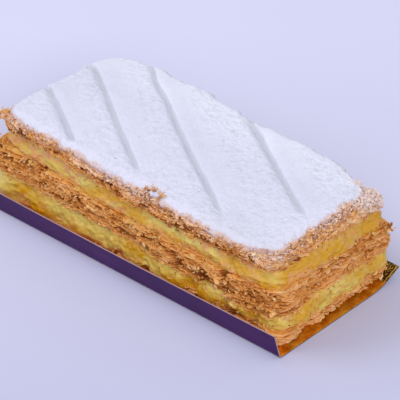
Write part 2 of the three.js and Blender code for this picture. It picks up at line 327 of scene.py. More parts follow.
def face_height(face, x, y):
    """Height of a layer's top face: its height along the front edge, and towards the right end more and more
    of what its height there differs from that at the front corner, a share of the crown, of the back's rise
    at the left end and of the crushed corner's droop that grows with the square of the height, and noise on
    all but the topmost face."""
    s = sizes()
    front, right = FACES[face]
    level = eased(x, FRONT_X, front)
    level = level + rising(x, 30, 65) * (eased(y, RIGHT_Y, right) - right[0] * MM)
    crown = s.crown * (1 - (2 * y / s.width) ** 2)
    at_left = rising(-x, -10, 35) * (1 - 0.8 * rising(-x, 42, 66))
    rise = s.back_rise * at_left * smooth_step(y, -s.width / 2, s.width / 2)
    from_corner = np.hypot(x - s.length / 2, y - s.width / 2) / s.droop_reach
    droop = s.droop * np.clip(1 - from_corner, 0, None) ** 1.5
    spots = flat_places(x, y) + [0, 0, front[0] * MM]
    uneven = s.uneven * layered_noise(spots, (8, 8, 1), 23, 2) * (face != TOP)
    return level + (level / TOP_HEIGHT) ** 2 * (crown + rise - droop) + uneven


def bed_height(x, y):
    """Height of the card's upper face under a place on the slice: flat, then rising by the square of the
    distance past the flat floor, and straight along the back flap."""
    c = card()
    behind = sizes().centre_y + x * math.sin(sizes().turn) + y * math.cos(sizes().turn)
    past = np.clip(behind - c.flat, 0, None)
    curl = c.fold_z * (past / (c.fold_y - c.flat)) ** 2
    flap = c.fold_z + (behind - c.fold_y) * (c.tip_z - c.fold_z) / (c.tip_y - c.fold_y)
    return c.thickness + np.where(behind > c.fold_y, flap, curl)


def in_tray(places):
    """Slice coordinates to the row frame: the top slides back towards the left at the right end's front
    corner, in proportion to the height, and it stands out over the back side. Then the slice is turned and
    set down behind the fold."""
    s = sizes()
    x, y, z = places[..., 0], places[..., 1], np.maximum(places[..., 2], 0)
    slide = s.lean * z / TOP_HEIGHT * np.clip(0.5 + x / s.length, 0, 1)
    slide = slide * np.clip(1 / 6 - y / (0.6 * s.width), 0, 1) ** 2
    behind = eased(x, BACK_X, BACK_EDGE) * (z / TOP_HEIGHT) ** 1.5 * np.clip(0.5 + y / s.width, 0, 1) ** 4
    x, y = x - slide, y + behind
    cos, sin = math.cos(s.turn), math.sin(s.turn)
    x, y = x * cos - y * sin + s.centre_x, x * sin + y * cos + s.centre_y
    return np.stack([x + tray_middle(), y + fold_y(), z], -1)


# ---- Meshes ----

SLAB_COLUMNS = 800

# How far the top pastry's core and the sugar's underside lie below the face between them, behind the rim
SUNK = 1.6 * MM


def grid_faces(rows, columns, round_rows=False, round_columns=False):
    """Quads of a grid of rows by columns, with the last row or column joined to the first where it is round.
    They face along the row direction crossed with the column direction, turned over."""
    r = np.arange(rows if round_rows else rows - 1)[:, None]
    c = np.arange(columns if round_columns else columns - 1)[None, :]
    r_next, c_next = (r + 1) % rows, (c + 1) % columns
    corners = [r * columns + c, r * columns + c_next, r_next * columns + c_next, r_next * columns + c]
    return np.stack(np.broadcast_arrays(*corners), -1).reshape(-1, 4)


def fan(ring, pole):
    """Triangles from each two neighbours on a ring of points to one pole."""
    return np.stack([ring, np.roll(ring, -1), np.full_like(ring, pole)], -1)


def copies(faces, points, count):
    """A list of one array: the faces of so many like bodies, one after the other, of so many points each."""
    return [(faces[None] + points * np.arange(count)[:, None, None]).reshape(-1, 3)]


def link(name, data):
    """A new object in the scene."""
    thing = bpy.data.objects.new(name, data)
    bpy.context.scene.collection.objects.link(thing)
    return thing


def add_piece(name, places, faces, materials, nodes=(), shades=None, face_materials=None, sharp=None):
    """Puts an array of places (n, 3) and a list of arrays of faces, each (m, 3) or (m, 4), into one mesh.
    shades are values at the points for the material to read, and sharp is the angle in degrees past which an
    edge is not smoothed."""
    mesh = bpy.data.meshes.new(name)
    corners = np.concatenate([f.ravel() for f in faces]).astype(np.int32)
    counts = np.concatenate([np.full(len(f), f.shape[1]) for f in faces])
    starts = (np.cumsum(counts) - counts).astype(np.int32)
    mesh.vertices.add(len(places))
    mesh.vertices.foreach_set("co", np.asarray(places, np.float32).ravel())
    mesh.loops.add(len(corners))
    mesh.loops.foreach_set("vertex_index", corners)
    mesh.polygons.add(len(starts))
    mesh.polygons.foreach_set("loop_start", starts)
    if face_materials is not None:
        mesh.polygons.foreach_set("material_index", face_materials.astype(np.int32))
    for material in materials:
        mesh.materials.append(material)
    for shade, values in (shades or {}).items():
        layer = mesh.attributes.new(shade, "FLOAT", "POINT")
        layer.data.foreach_set("value", np.asarray(values, np.float32).ravel())
    mesh.update(calc_edges=True)
    if mesh.validate():
        raise RuntimeError(f"{name} has faces that don't make a sound mesh")
    mesh.polygons.foreach_set("use_smooth", np.ones(len(starts), bool))
    if sharp is not None:
        mesh.set_sharp_from_angle(angle=math.radians(sharp))
    piece = link(name, mesh)
    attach(piece, "root")
    if nodes:
        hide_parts(*nodes)
    return piece


def closed_slab(rows, rings, side, sink=None):
    """A slab that fills the outline. side(share, w) gives the places of its edge, from w 0 at the bottom to 1
    at the top, and the two flat faces are rings that shrink from the edge to one middle point each. The rings
    of the top follow the face given as sink, lowered towards the middle. Returns its places, faces and w."""
    share, w = np.meshgrid(np.arange(SLAB_COLUMNS) / SLAB_COLUMNS, np.linspace(0, 1, rows))
    edge = side(share, w)
    shrink = np.array(rings)[:, None, None]
    middle = np.array([edge[0].mean(0), edge[-1].mean(0)])
    bottom = (middle[0] + (edge[0] - middle[0]) * shrink)[::-1]
    top = middle[1] + (edge[-1] - middle[1]) * shrink
    if sink is not None:
        lowered = SUNK * smooth_step(1 - shrink[..., 0], 0.02, 0.2)
        top[..., 2] = sink(top[..., 0], top[..., 1]) - lowered
        middle[1, 2] = sink(middle[1, 0], middle[1, 1]) - lowered[-1, 0]
    band = np.concatenate([bottom, edge, top])
    index = np.arange(len(band) * SLAB_COLUMNS).reshape(len(band), SLAB_COLUMNS)
    low_fan = fan(index[0], index.size)[:, [1, 0, 2]]
    faces = [grid_faces(*index.shape, round_columns=True), low_fan, fan(index[-1], index.size + 1)]
    heights = np.concatenate([np.zeros(len(rings)), np.linspace(0, 1, rows), np.ones(len(rings))])
    heights = np.append(np.repeat(heights, SLAB_COLUMNS), [0, 1])
    return np.concatenate([band.reshape(-1, 3), middle]), faces, heights


# ---- Materials ----


class Shader:
    """A node material with short ways to add nodes and to join them"""

    def __init__(self, name):
        self.material = bpy.data.materials.new(name)
        self.material.use_nodes = True
        self.tree = self.material.node_tree
        self.surface = self.tree.nodes["Principled BSDF"]
        self.coordinates = self.add("TexCoord").outputs["Object"]

    def add(self, kind, inputs=None, **settings):
        """A new node, with its settings and what goes into its inputs"""
        node = self.tree.nodes.new("ShaderNode" + kind)
        for key, value in settings.items():
            setattr(node, key, value)
        for key, value in (inputs or {}).items():
            self.feed(node.inputs[key], value)
        return node

    def feed(self, socket, value):
        if isinstance(value, bpy.types.NodeSocket):
            self.tree.links.new(value, socket)
        else:
            socket.default_value = value

    def shade(self, name):
        return self.add("Attribute", attribute_name=name).outputs["Fac"]

    def stretched(self, scale):
        return self.add("Mapping", {"Vector": self.coordinates, "Scale": scale}).outputs["Vector"]

    def grain(self, size, detail=3.0, roughness=0.55, coordinates=None):
        """Noise whose patches are about size across"""
        inputs = {"Scale": 1 / size, "Detail": detail, "Roughness": roughness}
        inputs["Vector"] = coordinates or self.coordinates
        return self.add("TexNoise", inputs).outputs["Fac"]

    def voronoi(self, size, feature="F1"):
        """A node of cells about size across"""
        return self.add("TexVoronoi", {"Vector": self.coordinates, "Scale": 1 / size}, feature=feature)

    def maths(self, operation, a, b=0.0, clamp=False):
        return self.add("Math", {0: a, 1: b}, operation=operation, use_clamp=clamp).outputs[0]

    def vector_maths(self, operation, a, b):
        return self.add("VectorMath", {0: a, 1: b}, operation=operation).outputs

    def axes(self, vector):
        """The three coordinates of a vector"""
        return self.add("SeparateXYZ", {0: vector}).outputs

    def spread(self, value, low, high, to_low=0.0, to_high=1.0):
        """The value carried from the range of low to high to that of to_low to to_high, and kept inside it"""
        return self.add("MapRange", dict(enumerate((value, low, high, to_low, to_high)))).outputs[0]

    def varied(self, value, pattern, low, high, far, clamp=False):
        """The value plus a part from -far to far, which the pattern gives as it goes from low to high"""
        return self.maths("ADD", value, self.spread(pattern, low, high, -far, far), clamp)

    def ramp(self, value, stops):
        node = self.add("ValToRGB", {0: value})
        elements = node.color_ramp.elements
        while len(elements) < len(stops):
            elements.new(0.5)
        for element, (position, colour) in zip(elements, stops):
            element.position = position
            element.color = colour
        return node.outputs["Color"]

    def mix(self, factor, a, b):
        return self.add("Mix", data_type="RGBA", inputs={0: factor, 6: a, 7: b}).outputs[2]

    def bump(self, height, distance, strength=1.0, below=None):
        inputs = {"Strength": strength, "Distance": distance, "Height": height}
        if below is not None:
            inputs["Normal"] = below
        return self.add("Bump", inputs).outputs["Normal"]

    def finish(self, **sockets):
        for name, value in sockets.items():
            self.feed(self.surface.inputs[name.replace("_", " ")], value)
        return self.material


def pastry_finish(name):
    """Baked puff pastry: the tone of each place runs from the dark of a crack through crust and gold to the
    pale of a fresh break, broken up by fine grain. The tone is partly the pastry's own colour and partly
    painted shade: it is lowered in cracks, hollows and set-back parts and raised where flakes and rims
    stand out. Cream is smeared where the smear value says, and sugar lies where the dust value says"""
    c = colours()
    shader = Shader(name)
    fine = shader.grain(0.5 * MM, 4)
    broad = shader.grain(4 * MM, 3)
    tone = shader.varied(shader.shade("tone"), fine, 0.3, 0.7, 0.12)
    tone = shader.varied(tone, broad, 0.35, 0.65, 0.08, clamp=True)
    baked = shader.ramp(tone, [(0.0, c.crack), (0.3, c.crust), (0.62, c.golden), (1.0, c.pale)])
    custard = shader.mix(0.5, c.cream, c.soaked)
    smear = shader.varied(shader.shade("smear"), broad, 0.35, 0.65, 0.4)
    smeared = shader.mix(shader.spread(smear, 0.2, 0.9, 0, 0.75), baked, custard)
    settled = shader.varied(shader.shade("dust"), shader.grain(0.45 * MM, 3, 0.7), 0.35, 0.65, 0.35)
    return shader.finish(
        Base_Color=shader.mix(shader.spread(settled, 0.2, 1.1, 0, 0.9), smeared, c.dusted),
        Roughness=shader.spread(fine, 0.3, 0.7, 0.5, 0.85),
        Normal=shader.bump(shader.grain(0.4 * MM, 4), 0.25 * MM, 0.7),
        Subsurface_Weight=0.3,
        Subsurface_Radius=(1.0, 0.6, 0.3),
        Subsurface_Scale=0.9 * MM,
        Specular_IOR_Level=0.12,
    )


def cream_finish():
    """Custard cream: pale with deeper yellow where the deep value says, smeared with pastry where the soak
    value says and browner still where it is highest, both broken up by finer grain; moist, soft and a little
    translucent"""
    c = colours()
    shader = Shader("custard cream")
    drawn = shader.stretched((0.7, 0.7, 1.3))
    patches = shader.spread(shader.grain(2.4 * MM, 4, 0.6, drawn), 0.35, 0.65)
    deep = shader.varied(shader.shade("deep"), patches, 0, 1, 0.3, clamp=True)
    body = shader.mix(deep, c.cream, c.custard)
    soak = shader.varied(shader.shade("soak"), shader.grain(1.1 * MM, 5, 0.7), 0.3, 0.7, 0.45)
    tanned = shader.mix(shader.spread(soak, 0, 0.7), body, c.soaked)
    return shader.finish(
        Base_Color=shader.mix(shader.spread(soak, 0.8, 1.6, 0, 0.8), tanned, c.crust),
        Roughness=shader.spread(patches, 0, 1, 0.42, 0.3),
        Normal=shader.bump(shader.grain(0.9 * MM, 3, 0.5), 0.3 * MM, 0.6),
        Subsurface_Weight=0.3,
        Subsurface_Radius=(1.0, 0.75, 0.25),
        Subsurface_Scale=1.2 * MM,
        Specular_IOR_Level=0.5,
    )


def sugar_finish():
    """Packed icing sugar: matt white with faint cool shading in random patches, painted light that
    brightens it towards the back, and painted shade that darkens it in the grooves, in the hollows between
    the lumps and towards the right corner in front; speckled with the pastry under it where it is thin,
    and with a fine grain"""
    c = colours()
    shader = Shader("icing sugar")
    patches = shader.spread(shader.grain(1.1 * MM, 4, 0.7), 0.35, 0.65)
    mottled = shader.mix(patches, c.sugar, tinted(c.sugar, 0.93))
    # Painted light: the sugar is brighter towards the back of the slice
    painted_far_light = shader.mix(shader.shade("painted_far_light"), mottled, tinted(c.sugar, 1.12))
    # Painted shade: greyer in the grooves, the hollows between the lumps and the right corner in front
    painted_light_and_shade = shader.mix(shader.shade("painted_sugar_shade"), painted_far_light, tinted(c.sugar, (0.75, 0.75, 0.7)))
    thin = shader.varied(shader.shade("thin"), shader.grain(0.6 * MM, 4, 0.75), 0.35, 0.65, 0.35)
    broad = shader.bump(shader.grain(1.0 * MM, 3), 0.2 * MM, 0.8)
    return shader.finish(
        Base_Color=shader.mix(shader.spread(thin, 0.5, 1.2, 0, 0.7), painted_light_and_shade, c.seen_through),
        Roughness=0.92,
        Normal=shader.bump(shader.grain(0.35 * MM, 3, 0.7), 0.18 * MM, 1.0, broad),
        Specular_IOR_Level=0.25,
    )


def purple_finish():
    """Printed purple card with a satin coat and a trace of fibre"""
    c = colours()
    shader = Shader("purple card")
    fibre = shader.grain(0.8 * MM, 5, 0.7, shader.stretched((0.3, 1, 1)))
    patches = shader.spread(shader.grain(14 * MM, 3), 0.3, 0.7)
    return shader.finish(
        Base_Color=shader.mix(patches, c.purple, tinted(c.purple, 0.72)),
        Roughness=shader.spread(fibre, 0.2, 0.8, 0.4, 0.55),
        Normal=shader.bump(fibre, 0.03 * MM, 0.35),
        Specular_IOR_Level=0.1,
    )


def gold_finish():
    """Gold foil on card with amber patches and a shallow embossed lattice. The patches are fewer near the
    card's right end, as painted shade that darkens the foil away from that end towards the slice. Where the
    print value says, it is printed dark with gold curls and a gold line along the card's end: each cell of
    a Voronoi pattern holds a spiral, the sine of nine times the distance from the cell's middle plus the
    direction to it"""
    c = colours()
    shader = Shader("gold card")
    from_end = shader.maths("SUBTRACT", TRAY_HIGH.x, shader.axes(shader.coordinates)[0])
    patches = shader.spread(shader.grain(3.5 * MM, 5, 0.7), 0.3, 0.7)
    # Painted shade: the foil is paler within 5 mm of the right end and darker further in, towards the slice
    patches = shader.maths("ADD", patches, shader.spread(from_end, 0, 5 * MM, -0.25, 0.1), clamp=True)
    foil = shader.ramp(patches, [(0.0, c.gold), (0.55, c.amber), (1.0, c.dark_amber)])
    cell = shader.voronoi(1.7 * MM).outputs
    local = shader.axes(shader.vector_maths("SUBTRACT", shader.coordinates, cell["Position"])[0])
    direction = shader.maths("ARCTAN2", local[1], local[0])
    away = shader.maths("MULTIPLY", cell["Distance"], 9.0)
    spiral = shader.maths("SINE", shader.maths("ADD", away, direction))
    curls = shader.mix(shader.spread(spiral, 0.55, 0.95), c.print_ground, c.curl)
    from_border = shader.maths("ABSOLUTE", shader.maths("SUBTRACT", from_end, 0.6 * MM))
    bordered = shader.mix(shader.spread(from_border, 0.15 * MM, 0.3 * MM, 1, 0), curls, c.curl)
    emboss = shader.voronoi(1.6 * MM, "DISTANCE_TO_EDGE").outputs["Distance"]
    return shader.finish(
        Base_Color=shader.mix(shader.shade("print"), foil, bordered),
        Metallic=0.6,
        Roughness=shader.spread(shader.grain(1.5 * MM, 3), 0.3, 0.7, 0.32, 0.5),
        Normal=shader.bump(shader.spread(emboss, 0.02, 0.12), 0.05 * MM, 0.4),
    )


def cut_edge_finish():
    """The bare pulp of the card at its cut edge, darker from the front fold back over the floor and the
    back flap
    """
    c = colours()
    shader = Shader("cut card")
    pulp = shader.grain(0.3 * MM, 4)
    edge = shader.mix(shader.shade("edge_darkening"), c.cut_edge, c.dark_cut_edge)
    return shader.finish(
        Base_Color=shader.mix(shader.spread(pulp, 0.2, 0.8, 0, 0.4), edge, c.dark_cut_edge),
        Roughness=0.85,
        Normal=shader.bump(pulp, 0.05 * MM, 0.5),
    )


def table_finish():
    """Smooth pale table, with the faintest mottling, and painted shade that darkens it by a quarter from its
    far side behind the left end to the near one"""
    pale = colours().table
    shader = Shader("table")
    patches = shader.spread(shader.grain(60 * MM, 2), 0.3, 0.7)
    mottled = shader.mix(patches, pale, tinted(pale, 0.985))
    ahead = shader.vector_maths("DOT_PRODUCT", shader.coordinates, (-0.67, 0.742, 0))["Value"]
    # Painted shade: the colour of the table's near side
    near = tinted(pale, (0.73, 0.74, 0.79))
    return shader.finish(
        Base_Color=shader.mix(shader.spread(ahead, 0.15, -0.13), mottled, near),
        Roughness=0.7,
        Specular_IOR_Level=0.2,
    )


# ---- Card ----

# The card's front fold, and how many points each part of its line has
BEND_RADIUS = 1.2 * MM
BEND_STEPS = 9
FLAP_STEPS, FLOOR_STEPS, CURL_STEPS, BACK_STEPS = 12, 40, 27, 10
CARD_COLUMNS = 138
PURPLE_FACE, GOLD_FACE, CUT_FACE = 0, 1, 2


def card_line():
    """The inner face of the card as a line in Y and Z, in the row frame, from the top of the front flap to
    the tip of the back one: a straight flap, a bend that leaves the flap's foot by (1 - t)^2 and reaches the
    floor by t^2, a straight floor, a rise with the square of the distance, and a straight flap."""
    c = card()
    foot = np.array([-c.flap_lean / c.flap_rise * BEND_RADIUS, BEND_RADIUS])
    start = np.array([BEND_RADIUS, 0.0])
    t = np.linspace(0, 1, BEND_STEPS)[:, None]
    bend = foot * (1 - t) ** 2 + start * t**2
    flap = np.linspace([-c.flap_lean, c.flap_rise - c.thickness], foot, FLAP_STEPS, endpoint=False)
    floor = np.linspace(start, [c.flat, 0], FLOOR_STEPS, endpoint=False)[1:]
    curl_y = np.linspace(c.flat, c.fold_y, CURL_STEPS, endpoint=False)
    curl = np.stack([curl_y, c.fold_z * ((curl_y - c.flat) / (c.fold_y - c.flat)) ** 2], -1)
    back = np.linspace([c.fold_y, c.fold_z], [c.tip_y, c.tip_z], BACK_STEPS)
    return np.concatenate([flap, bend, floor, curl, back]) + [fold_y(), c.thickness]


def offset_line(line, distance):
    """The line moved to its right by a distance, square to its own run at each point."""
    run = unit(np.gradient(line, axis=0))
    return line + np.stack([run[:, 1], -run[:, 0]], -1) * distance


def card_tray():
    """The card profile carried along X: the inner line and the outer one a card's thickness away make a loop,
    which is carried from end to end, bowed by a trace, and closed by strips between the two lines."""
    inner = card_line()
    outer = offset_line(inner, card().thickness)
    outer[:, 1] = np.maximum(outer[:, 1], 0)
    loop = np.concatenate([inner, outer[::-1]])
    n, m = len(inner), len(loop)
    x = np.linspace(TRAY_LOW.x, TRAY_HIGH.x, CARD_COLUMNS)
    places = np.empty((CARD_COLUMNS, m, 3))
    places[..., 0] = x[:, None]
    places[..., 1:] = loop
    on_flap = rising(places[..., 2], 2, 10) * (places[..., 1] < 0)
    bow = 0.5 * MM * (1 - np.linspace(-1, 1, CARD_COLUMNS)[:, None] ** 2)
    ripple = 0.12 * MM * noise(places, (18, 30, 30), 31)
    places[..., 1] -= on_flap * (bow + ripple)
    walls = grid_faces(CARD_COLUMNS, m, round_columns=True)[:, ::-1]
    column = np.tile(np.arange(m), CARD_COLUMNS - 1)
    on_edge = (column == n - 1) | (column == m - 1)
    wall_material = np.select([column < n - 1, on_edge], [GOLD_FACE, CUT_FACE], PURPLE_FACE)
    step = np.arange(n - 1)
    cap = np.stack([step, step + 1, m - 2 - step, m - 1 - step], -1)
    far_cap = cap[:, ::-1] + (CARD_COLUMNS - 1) * m
    fold = fold_y()
    back_fold = fold + card().fold_y
    piece = add_piece(
        "folded_card_tray",
        places.reshape(-1, 3),
        [walls, cap, far_cap],
        [purple_finish(), gold_finish(), cut_edge_finish()],
        ["card_tray"],
        shades={
            # The cut edge darkens from the front fold backwards
            "edge_darkening": smooth_step(places[..., 1], fold - 1 * MM, fold + 3 * MM),
            "print": smooth_step(places[..., 1], back_fold, back_fold + 0.5 * MM),
        },
        face_materials=np.concatenate([wall_material, np.full(2 * (n - 1), CUT_FACE)]),
        sharp=50,
    )
    bevel = piece.modifiers.new("worn edge", "BEVEL")
    bevel.width = 0.08 * MM
    bevel.segments = 2
    bevel.limit_method = "ANGLE"
    bevel.angle_limit = math.radians(60)


# ---- Layers ----

# Where a layer stands out further than along the rest of its side: the layer, the middle of the place in X
# and Y, how far it stands out and how far round the place it reaches, in millimetres
TONGUES = (
    ("middle_pastry", (-66, -25), 3.2, 9),
    ("middle_pastry", (66, 27), 0.8, 6),
    ("bottom_pastry", (66, -27), 1.2, 6),
    ("lower_cream", (-66, -25), 2.4, 8),
    ("lower_cream", (66, 2), 0.9, 20),
    ("upper_cream", (66, -4), 1.2, 16),
)

# The long cracks in the right end, the last of them in the top pastry: their ends in Y and Z, in millimetres
CRACKS = (((-23, 22.4), (10, 20.6)), ((9, 20.4), (18, 17.4)), ((-21, 29.9), (-2, 31.4)))


class Layer:
    """A layer of the slice. It lies on the top face of the layer before it, and the first one in the card.
    Its edge is how far its side stands out from the slice's outline"""

    def __init__(self, name, edge, seed):
        self.name = name
        self.edge = edge * MM
        self.seed = seed
        names = list(FACES)
        self.under = dict(zip(names[1:], names)).get(name)

    def below(self, x, y):
        return face_height(self.under, x, y) if self.under else bed_height(x, y)

    def above(self, x, y):
        return face_height(self.name, x, y)

    def side(self, share, w, grow):
        """Places on the layer's side: the outline grown by grow, at the share w of the way up. The corners
        are pushed out, less as the height grows, by the sine of twice the outward direction."""
        flat, out = outline(share, grow)
        x, y = flat[..., 0], flat[..., 1]
        low, high = self.below(x, y), self.above(x, y)
        z = low + (high - low) * w
        square = sizes().square * np.clip(1 - z / TOP_HEIGHT, 0, 1)
        pushed = square * np.abs(2 * out[..., 0] * out[..., 1]) ** 1.5
        return np.concatenate([flat + pushed[..., None] * out, z[..., None]], -1)

    def reach(self, share, w):
        """How far the side stands out: its even edge, a bell for each of its tongues, and at the right end of
        the bottom pastry more above a wavy line than below it, where it hangs over the card."""
        flat, out = outline(share + 0 * w, self.edge + 0 * w * share)
        x, y = flat[..., 0], flat[..., 1]
        grow = self.edge + 0 * x
        for name, middle, far, half in TONGUES:
            if name == self.name:
                away = np.hypot(x - middle[0] * MM, y - middle[1] * MM)
                grow = grow + far * MM * bell(away, 0, half * MM)
        if self.name == "bottom_pastry":
            lip = 0.36 + 0.1 * layered_noise(flat_places(x, y), 4, 55, 3)
            over = smooth_step(w, lip - 0.06, lip + 0.06)
            grow = grow + smooth_step(out[..., 0], 0.5, 1) * MM * (3.0 * over - 2.4)
        return grow

    def strands(self, places):
        """From about -1.4 to 1.4: how far the side stands out in long uneven strands that run along it, the
        sum of a long noise and a shorter one."""
        long = noise(places, (9, 9, 1.9), self.seed + 11)
        short = noise(places, (3, 3, 1.2), self.seed + 12)
        return 0.95 * long + 0.5 * short

    def pockets(self, places):
        """0 to 1: how far a place lies in one of the hollows between flakes, where a noise that is longer
        than high passes a limit. The side is cut back there, and the sheets' tone is lowered there as painted
        shade.
        They are shallower at both ends and in the thin top pastry."""
        hollow = noise(places, (5.5, 5.5, 2.4), self.seed + 21)
        at_end = near_end(places[..., 0], 0.34, 0.44)
        at_left = rising(-places[..., 0], 35, 55)
        shallow = np.maximum(0.6 * at_end + 0.5 * at_left, 0.6 * (self.name == TOP))
        return smooth_step(hollow, 0.12, 0.36) * (1 - shallow)

    def painted_shade_under_top(self, places, w):
        """0 to 1: painted shade along the lowest part of the top pastry's side, where it meets the upper
        cream, in long stretches where a noise passes a limit."""
        if self.name != TOP:
            return 0 * w
        return smooth_step(0.4 - w, 0, 0.2) * smooth_step(noise(places, 9, 25), -0.35, 0.1)


def crack_depth(places):
    """0 to 1: how deep a place on the right end lies in a crack there, a narrow bell across a straight line
    that is faded out at its two ends. The pastry is cut back along it, and the tone of the core and the
    flakes is lowered there as painted shade."""
    depth = 0 * places[..., 0]
    for (y0, z0), (y1, z1) in CRACKS:
        along = (places[..., 1] / MM - y0) / (y1 - y0)
        off = places[..., 2] / MM - (z0 + (z1 - z0) * along)
        off = off + 0.5 * noise(places * [0, 1, 0], 2.5, 19)
        there = smooth_step(along, -0.05, 0.1) * (1 - smooth_step(along, 0.9, 1.05))
        depth = np.maximum(depth, there * bell(off, 0, 0.5))
    return depth * (places[..., 0] > 0.46 * sizes().length)


# ---- Flakes ----

# A flake is a six-cornered plate: a middle point and six rim points above, and the same below
CORNERS = 6
HALF_FLAKE = CORNERS + 1
FLAKE_POINTS = 2 * HALF_FLAKE
RIM = np.arange(CORNERS)
UPPER_RIM, LOWER_RIM = 1 + RIM, 1 + HALF_FLAKE + RIM
UPPER_NEXT, LOWER_NEXT = np.roll(UPPER_RIM, -1), np.roll(LOWER_RIM, -1)
FLAKE_TRIANGLES = (
    (0 * RIM, UPPER_RIM, UPPER_NEXT),
    (0 * RIM + HALF_FLAKE, LOWER_NEXT, LOWER_RIM),
    (UPPER_RIM, LOWER_RIM, LOWER_NEXT),
    (UPPER_RIM, LOWER_NEXT, UPPER_NEXT),
)
FLAKE_FACES = np.concatenate([np.stack(corners, -1) for corners in FLAKE_TRIANGLES])

# The right end, which the knife has cut cleaner, is where the outward direction's X is more than this
CUT_END = 0.7

# Places where flakes stand out in a clump: the layer, the middle of the clump in millimetres, how far it
# spreads, how many flakes it has and how long they are. The last three are specks on the sugar
CLUMPS = (
    ("middle_pastry", (66.6, 26.0, 22.6), 0.9, 40, 2.0),
    ("top_pastry", (-65.4, -25.6, 35.4), 1.2, 80, 1.9),
    ("middle_pastry", (-68.0, -24.0, 20.0), 2.0, 120, 2.4),
    ("middle_pastry", (-65.0, -26.0, 23.6), 2.2, 160, 2.2),
    ("top_pastry", (7.4, -26.6, 34.0), 1.9, 120, 1.7),
    ("top_pastry", (12.6, -26.0, 34.6), 0.7, 22, 1.6),
    ("top_pastry", (54.4, 24.4, 35.9), 0.9, 45, 1.1),
    ("top_pastry", (62.0, -27.0, 31.2), 0.9, 45, 1.4),
    ("top_pastry", (-14.2, -22.0, 36.9), 0.2, 3, 1.0),
    ("top_pastry", (-16.8, -7.2, 37.6), 0.2, 2, 0.8),
    ("top_pastry", (-63.4, 12.6, 38.9), 0.2, 2, 0.5),
)

# How many places all over the top are tried for the flakes on its bare rim
RIM_TRIES = 28000


def flakes(centres, outward, length, tilt, rng):
    """Bent plates with uneven corners, one at each centre. Each lies nearly level, is longest along the side
    that it sits on, and is tipped by a random part of tilt about both of its own axes. Its rim is bent by the
    cosine of twice the angle round it."""
    count = len(centres)
    along = np.stack([-outward[:, 1], outward[:, 0], np.zeros(count)], -1)
    yaw = rng.normal(0, 0.4, count)[:, None]
    out = np.concatenate([outward, np.zeros((count, 1))], -1)
    first = along * np.cos(yaw) + out * np.sin(yaw)
    second = out * np.cos(yaw) - along * np.sin(yaw)
    up = np.array([0.0, 0, 1]) + first * rng.normal(0, tilt, (count, 1))
    up = unit(up + second * rng.normal(0, tilt, (count, 1)))
    first = unit(np.cross(second, up))
    second = np.cross(up, first)
    turned = (RIM + rng.uniform(-0.3, 0.3, (count, CORNERS))) * TURN / CORNERS
    radius = rng.uniform(0.6, 1.0, (count, CORNERS)) * length[:, None] / 2
    a, b = radius * np.cos(turned), radius * np.sin(turned) * rng.uniform(0.4, 0.8, (count, 1))
    bend = rng.normal(0, 0.2, (count, 1)) * length[:, None] * np.cos(2 * turned)
    half = rng.uniform(0.06, 0.15, count)[:, None, None] * [0, 0, MM]
    plate = np.pad(np.stack([a, b, 0.5 * bend], -1), ((0, 0), (1, 0), (0, 0)))
    local = np.concatenate([plate + half, plate - half], 1)
    places = centres[:, None, :] + local @ np.stack([first, second, up], 1)
    return places.reshape(-1, 3), copies(FLAKE_FACES, FLAKE_POINTS, count)


def flake_values(tone, on_top=1.0, under=0.0):
    """For each point of the flakes its tone, and how much it counts as an upper side: on_top for the first
    seven points of a flake, which lie on its top, and under for the others."""
    top = np.arange(FLAKE_POINTS) < HALF_FLAKE
    upper = np.where(top, np.broadcast_to(on_top, len(tone))[:, None], under)
    return np.stack([np.repeat(tone, FLAKE_POINTS), upper.ravel()], -1)


def flake_lengths(middling, spread, count, rng):
    """Lengths spread round a middling one by a lognormal distribution."""
    return middling * rng.lognormal(0, spread, count)


def side_flakes(layer, count, rng):
    """Flakes scattered over a layer's side, on its strands: few in its pockets, and fewer and flatter on the
    right end. Their tone carries painted shade: lower for flakes that sit further back, in cracks and along
    the lowest part of the top pastry where it meets the cream. Returns their places, faces and values."""
    share = rng.random(count)
    w = rng.uniform(0.0, 1.0, count)
    reach = layer.reach(share, w)
    plain = layer.side(share, w, reach)
    at_end = outline(share, reach)[1][:, 0] > CUT_END
    kept = rng.random(count) > 0.2 * at_end + 0.75 * layer.pockets(plain)
    share, w, reach, plain, count = share[kept], w[kept], reach[kept], plain[kept], kept.sum()
    strand, crack = layer.strands(plain), crack_depth(plain)
    grow = reach + MM * (0.5 * strand + rng.uniform(-0.7, 0.35, count) - 1.4 * crack)
    outward = outline(share, grow)[1]
    tilt = np.where(outward[:, 0] > CUT_END, 0.45, 0.65)[:, None]
    length = flake_lengths(sizes().flake_length, 0.4, count, rng)
    places, faces = flakes(layer.side(share, w, grow), outward, length, tilt, rng)
    # Painted shade: the tone rises with how far a flake stands out and falls in cracks and under the top
    # pastry's edge
    tone = 0.64 + 0.17 * rng.standard_normal(count) + 0.14 * strand + 0.1 * (grow - reach) / MM - 0.3 * crack
    tone -= 0.28 * layer.painted_shade_under_top(plain, w)
    return places, faces, flake_values(tone)


def scattered(tries, rng):
    """So many places spread evenly over the slice and half a millimetre past its sides."""
    x = rng.uniform(-0.5, 0.5, tries) * (sizes().length + 1 * MM)
    y = rng.uniform(-0.5, 0.5, tries) * (sizes().width + 1 * MM)
    return x, y


def beyond_sugar(x, y, overlap):
    """True where the top pastry lies bare, or less than overlap under the sugar: near the slice's front edge
    and past the sugar's end on the right, but not outside the slice's round corners."""
    s = sizes()
    from_end, from_side = s.length / 2 - np.abs(x), s.width / 2 - np.abs(y)
    retreat = eased(y, RETREAT_Y, SUGAR_RETREAT)
    bare = (s.width / 2 + y < overlap) | (s.length / 2 - x < retreat + overlap)
    past_arc = np.hypot(np.clip(s.corner - from_end, 0, None), np.clip(s.corner - from_side, 0, None))
    return bare & (past_arc < s.corner + 0.5 * MM)


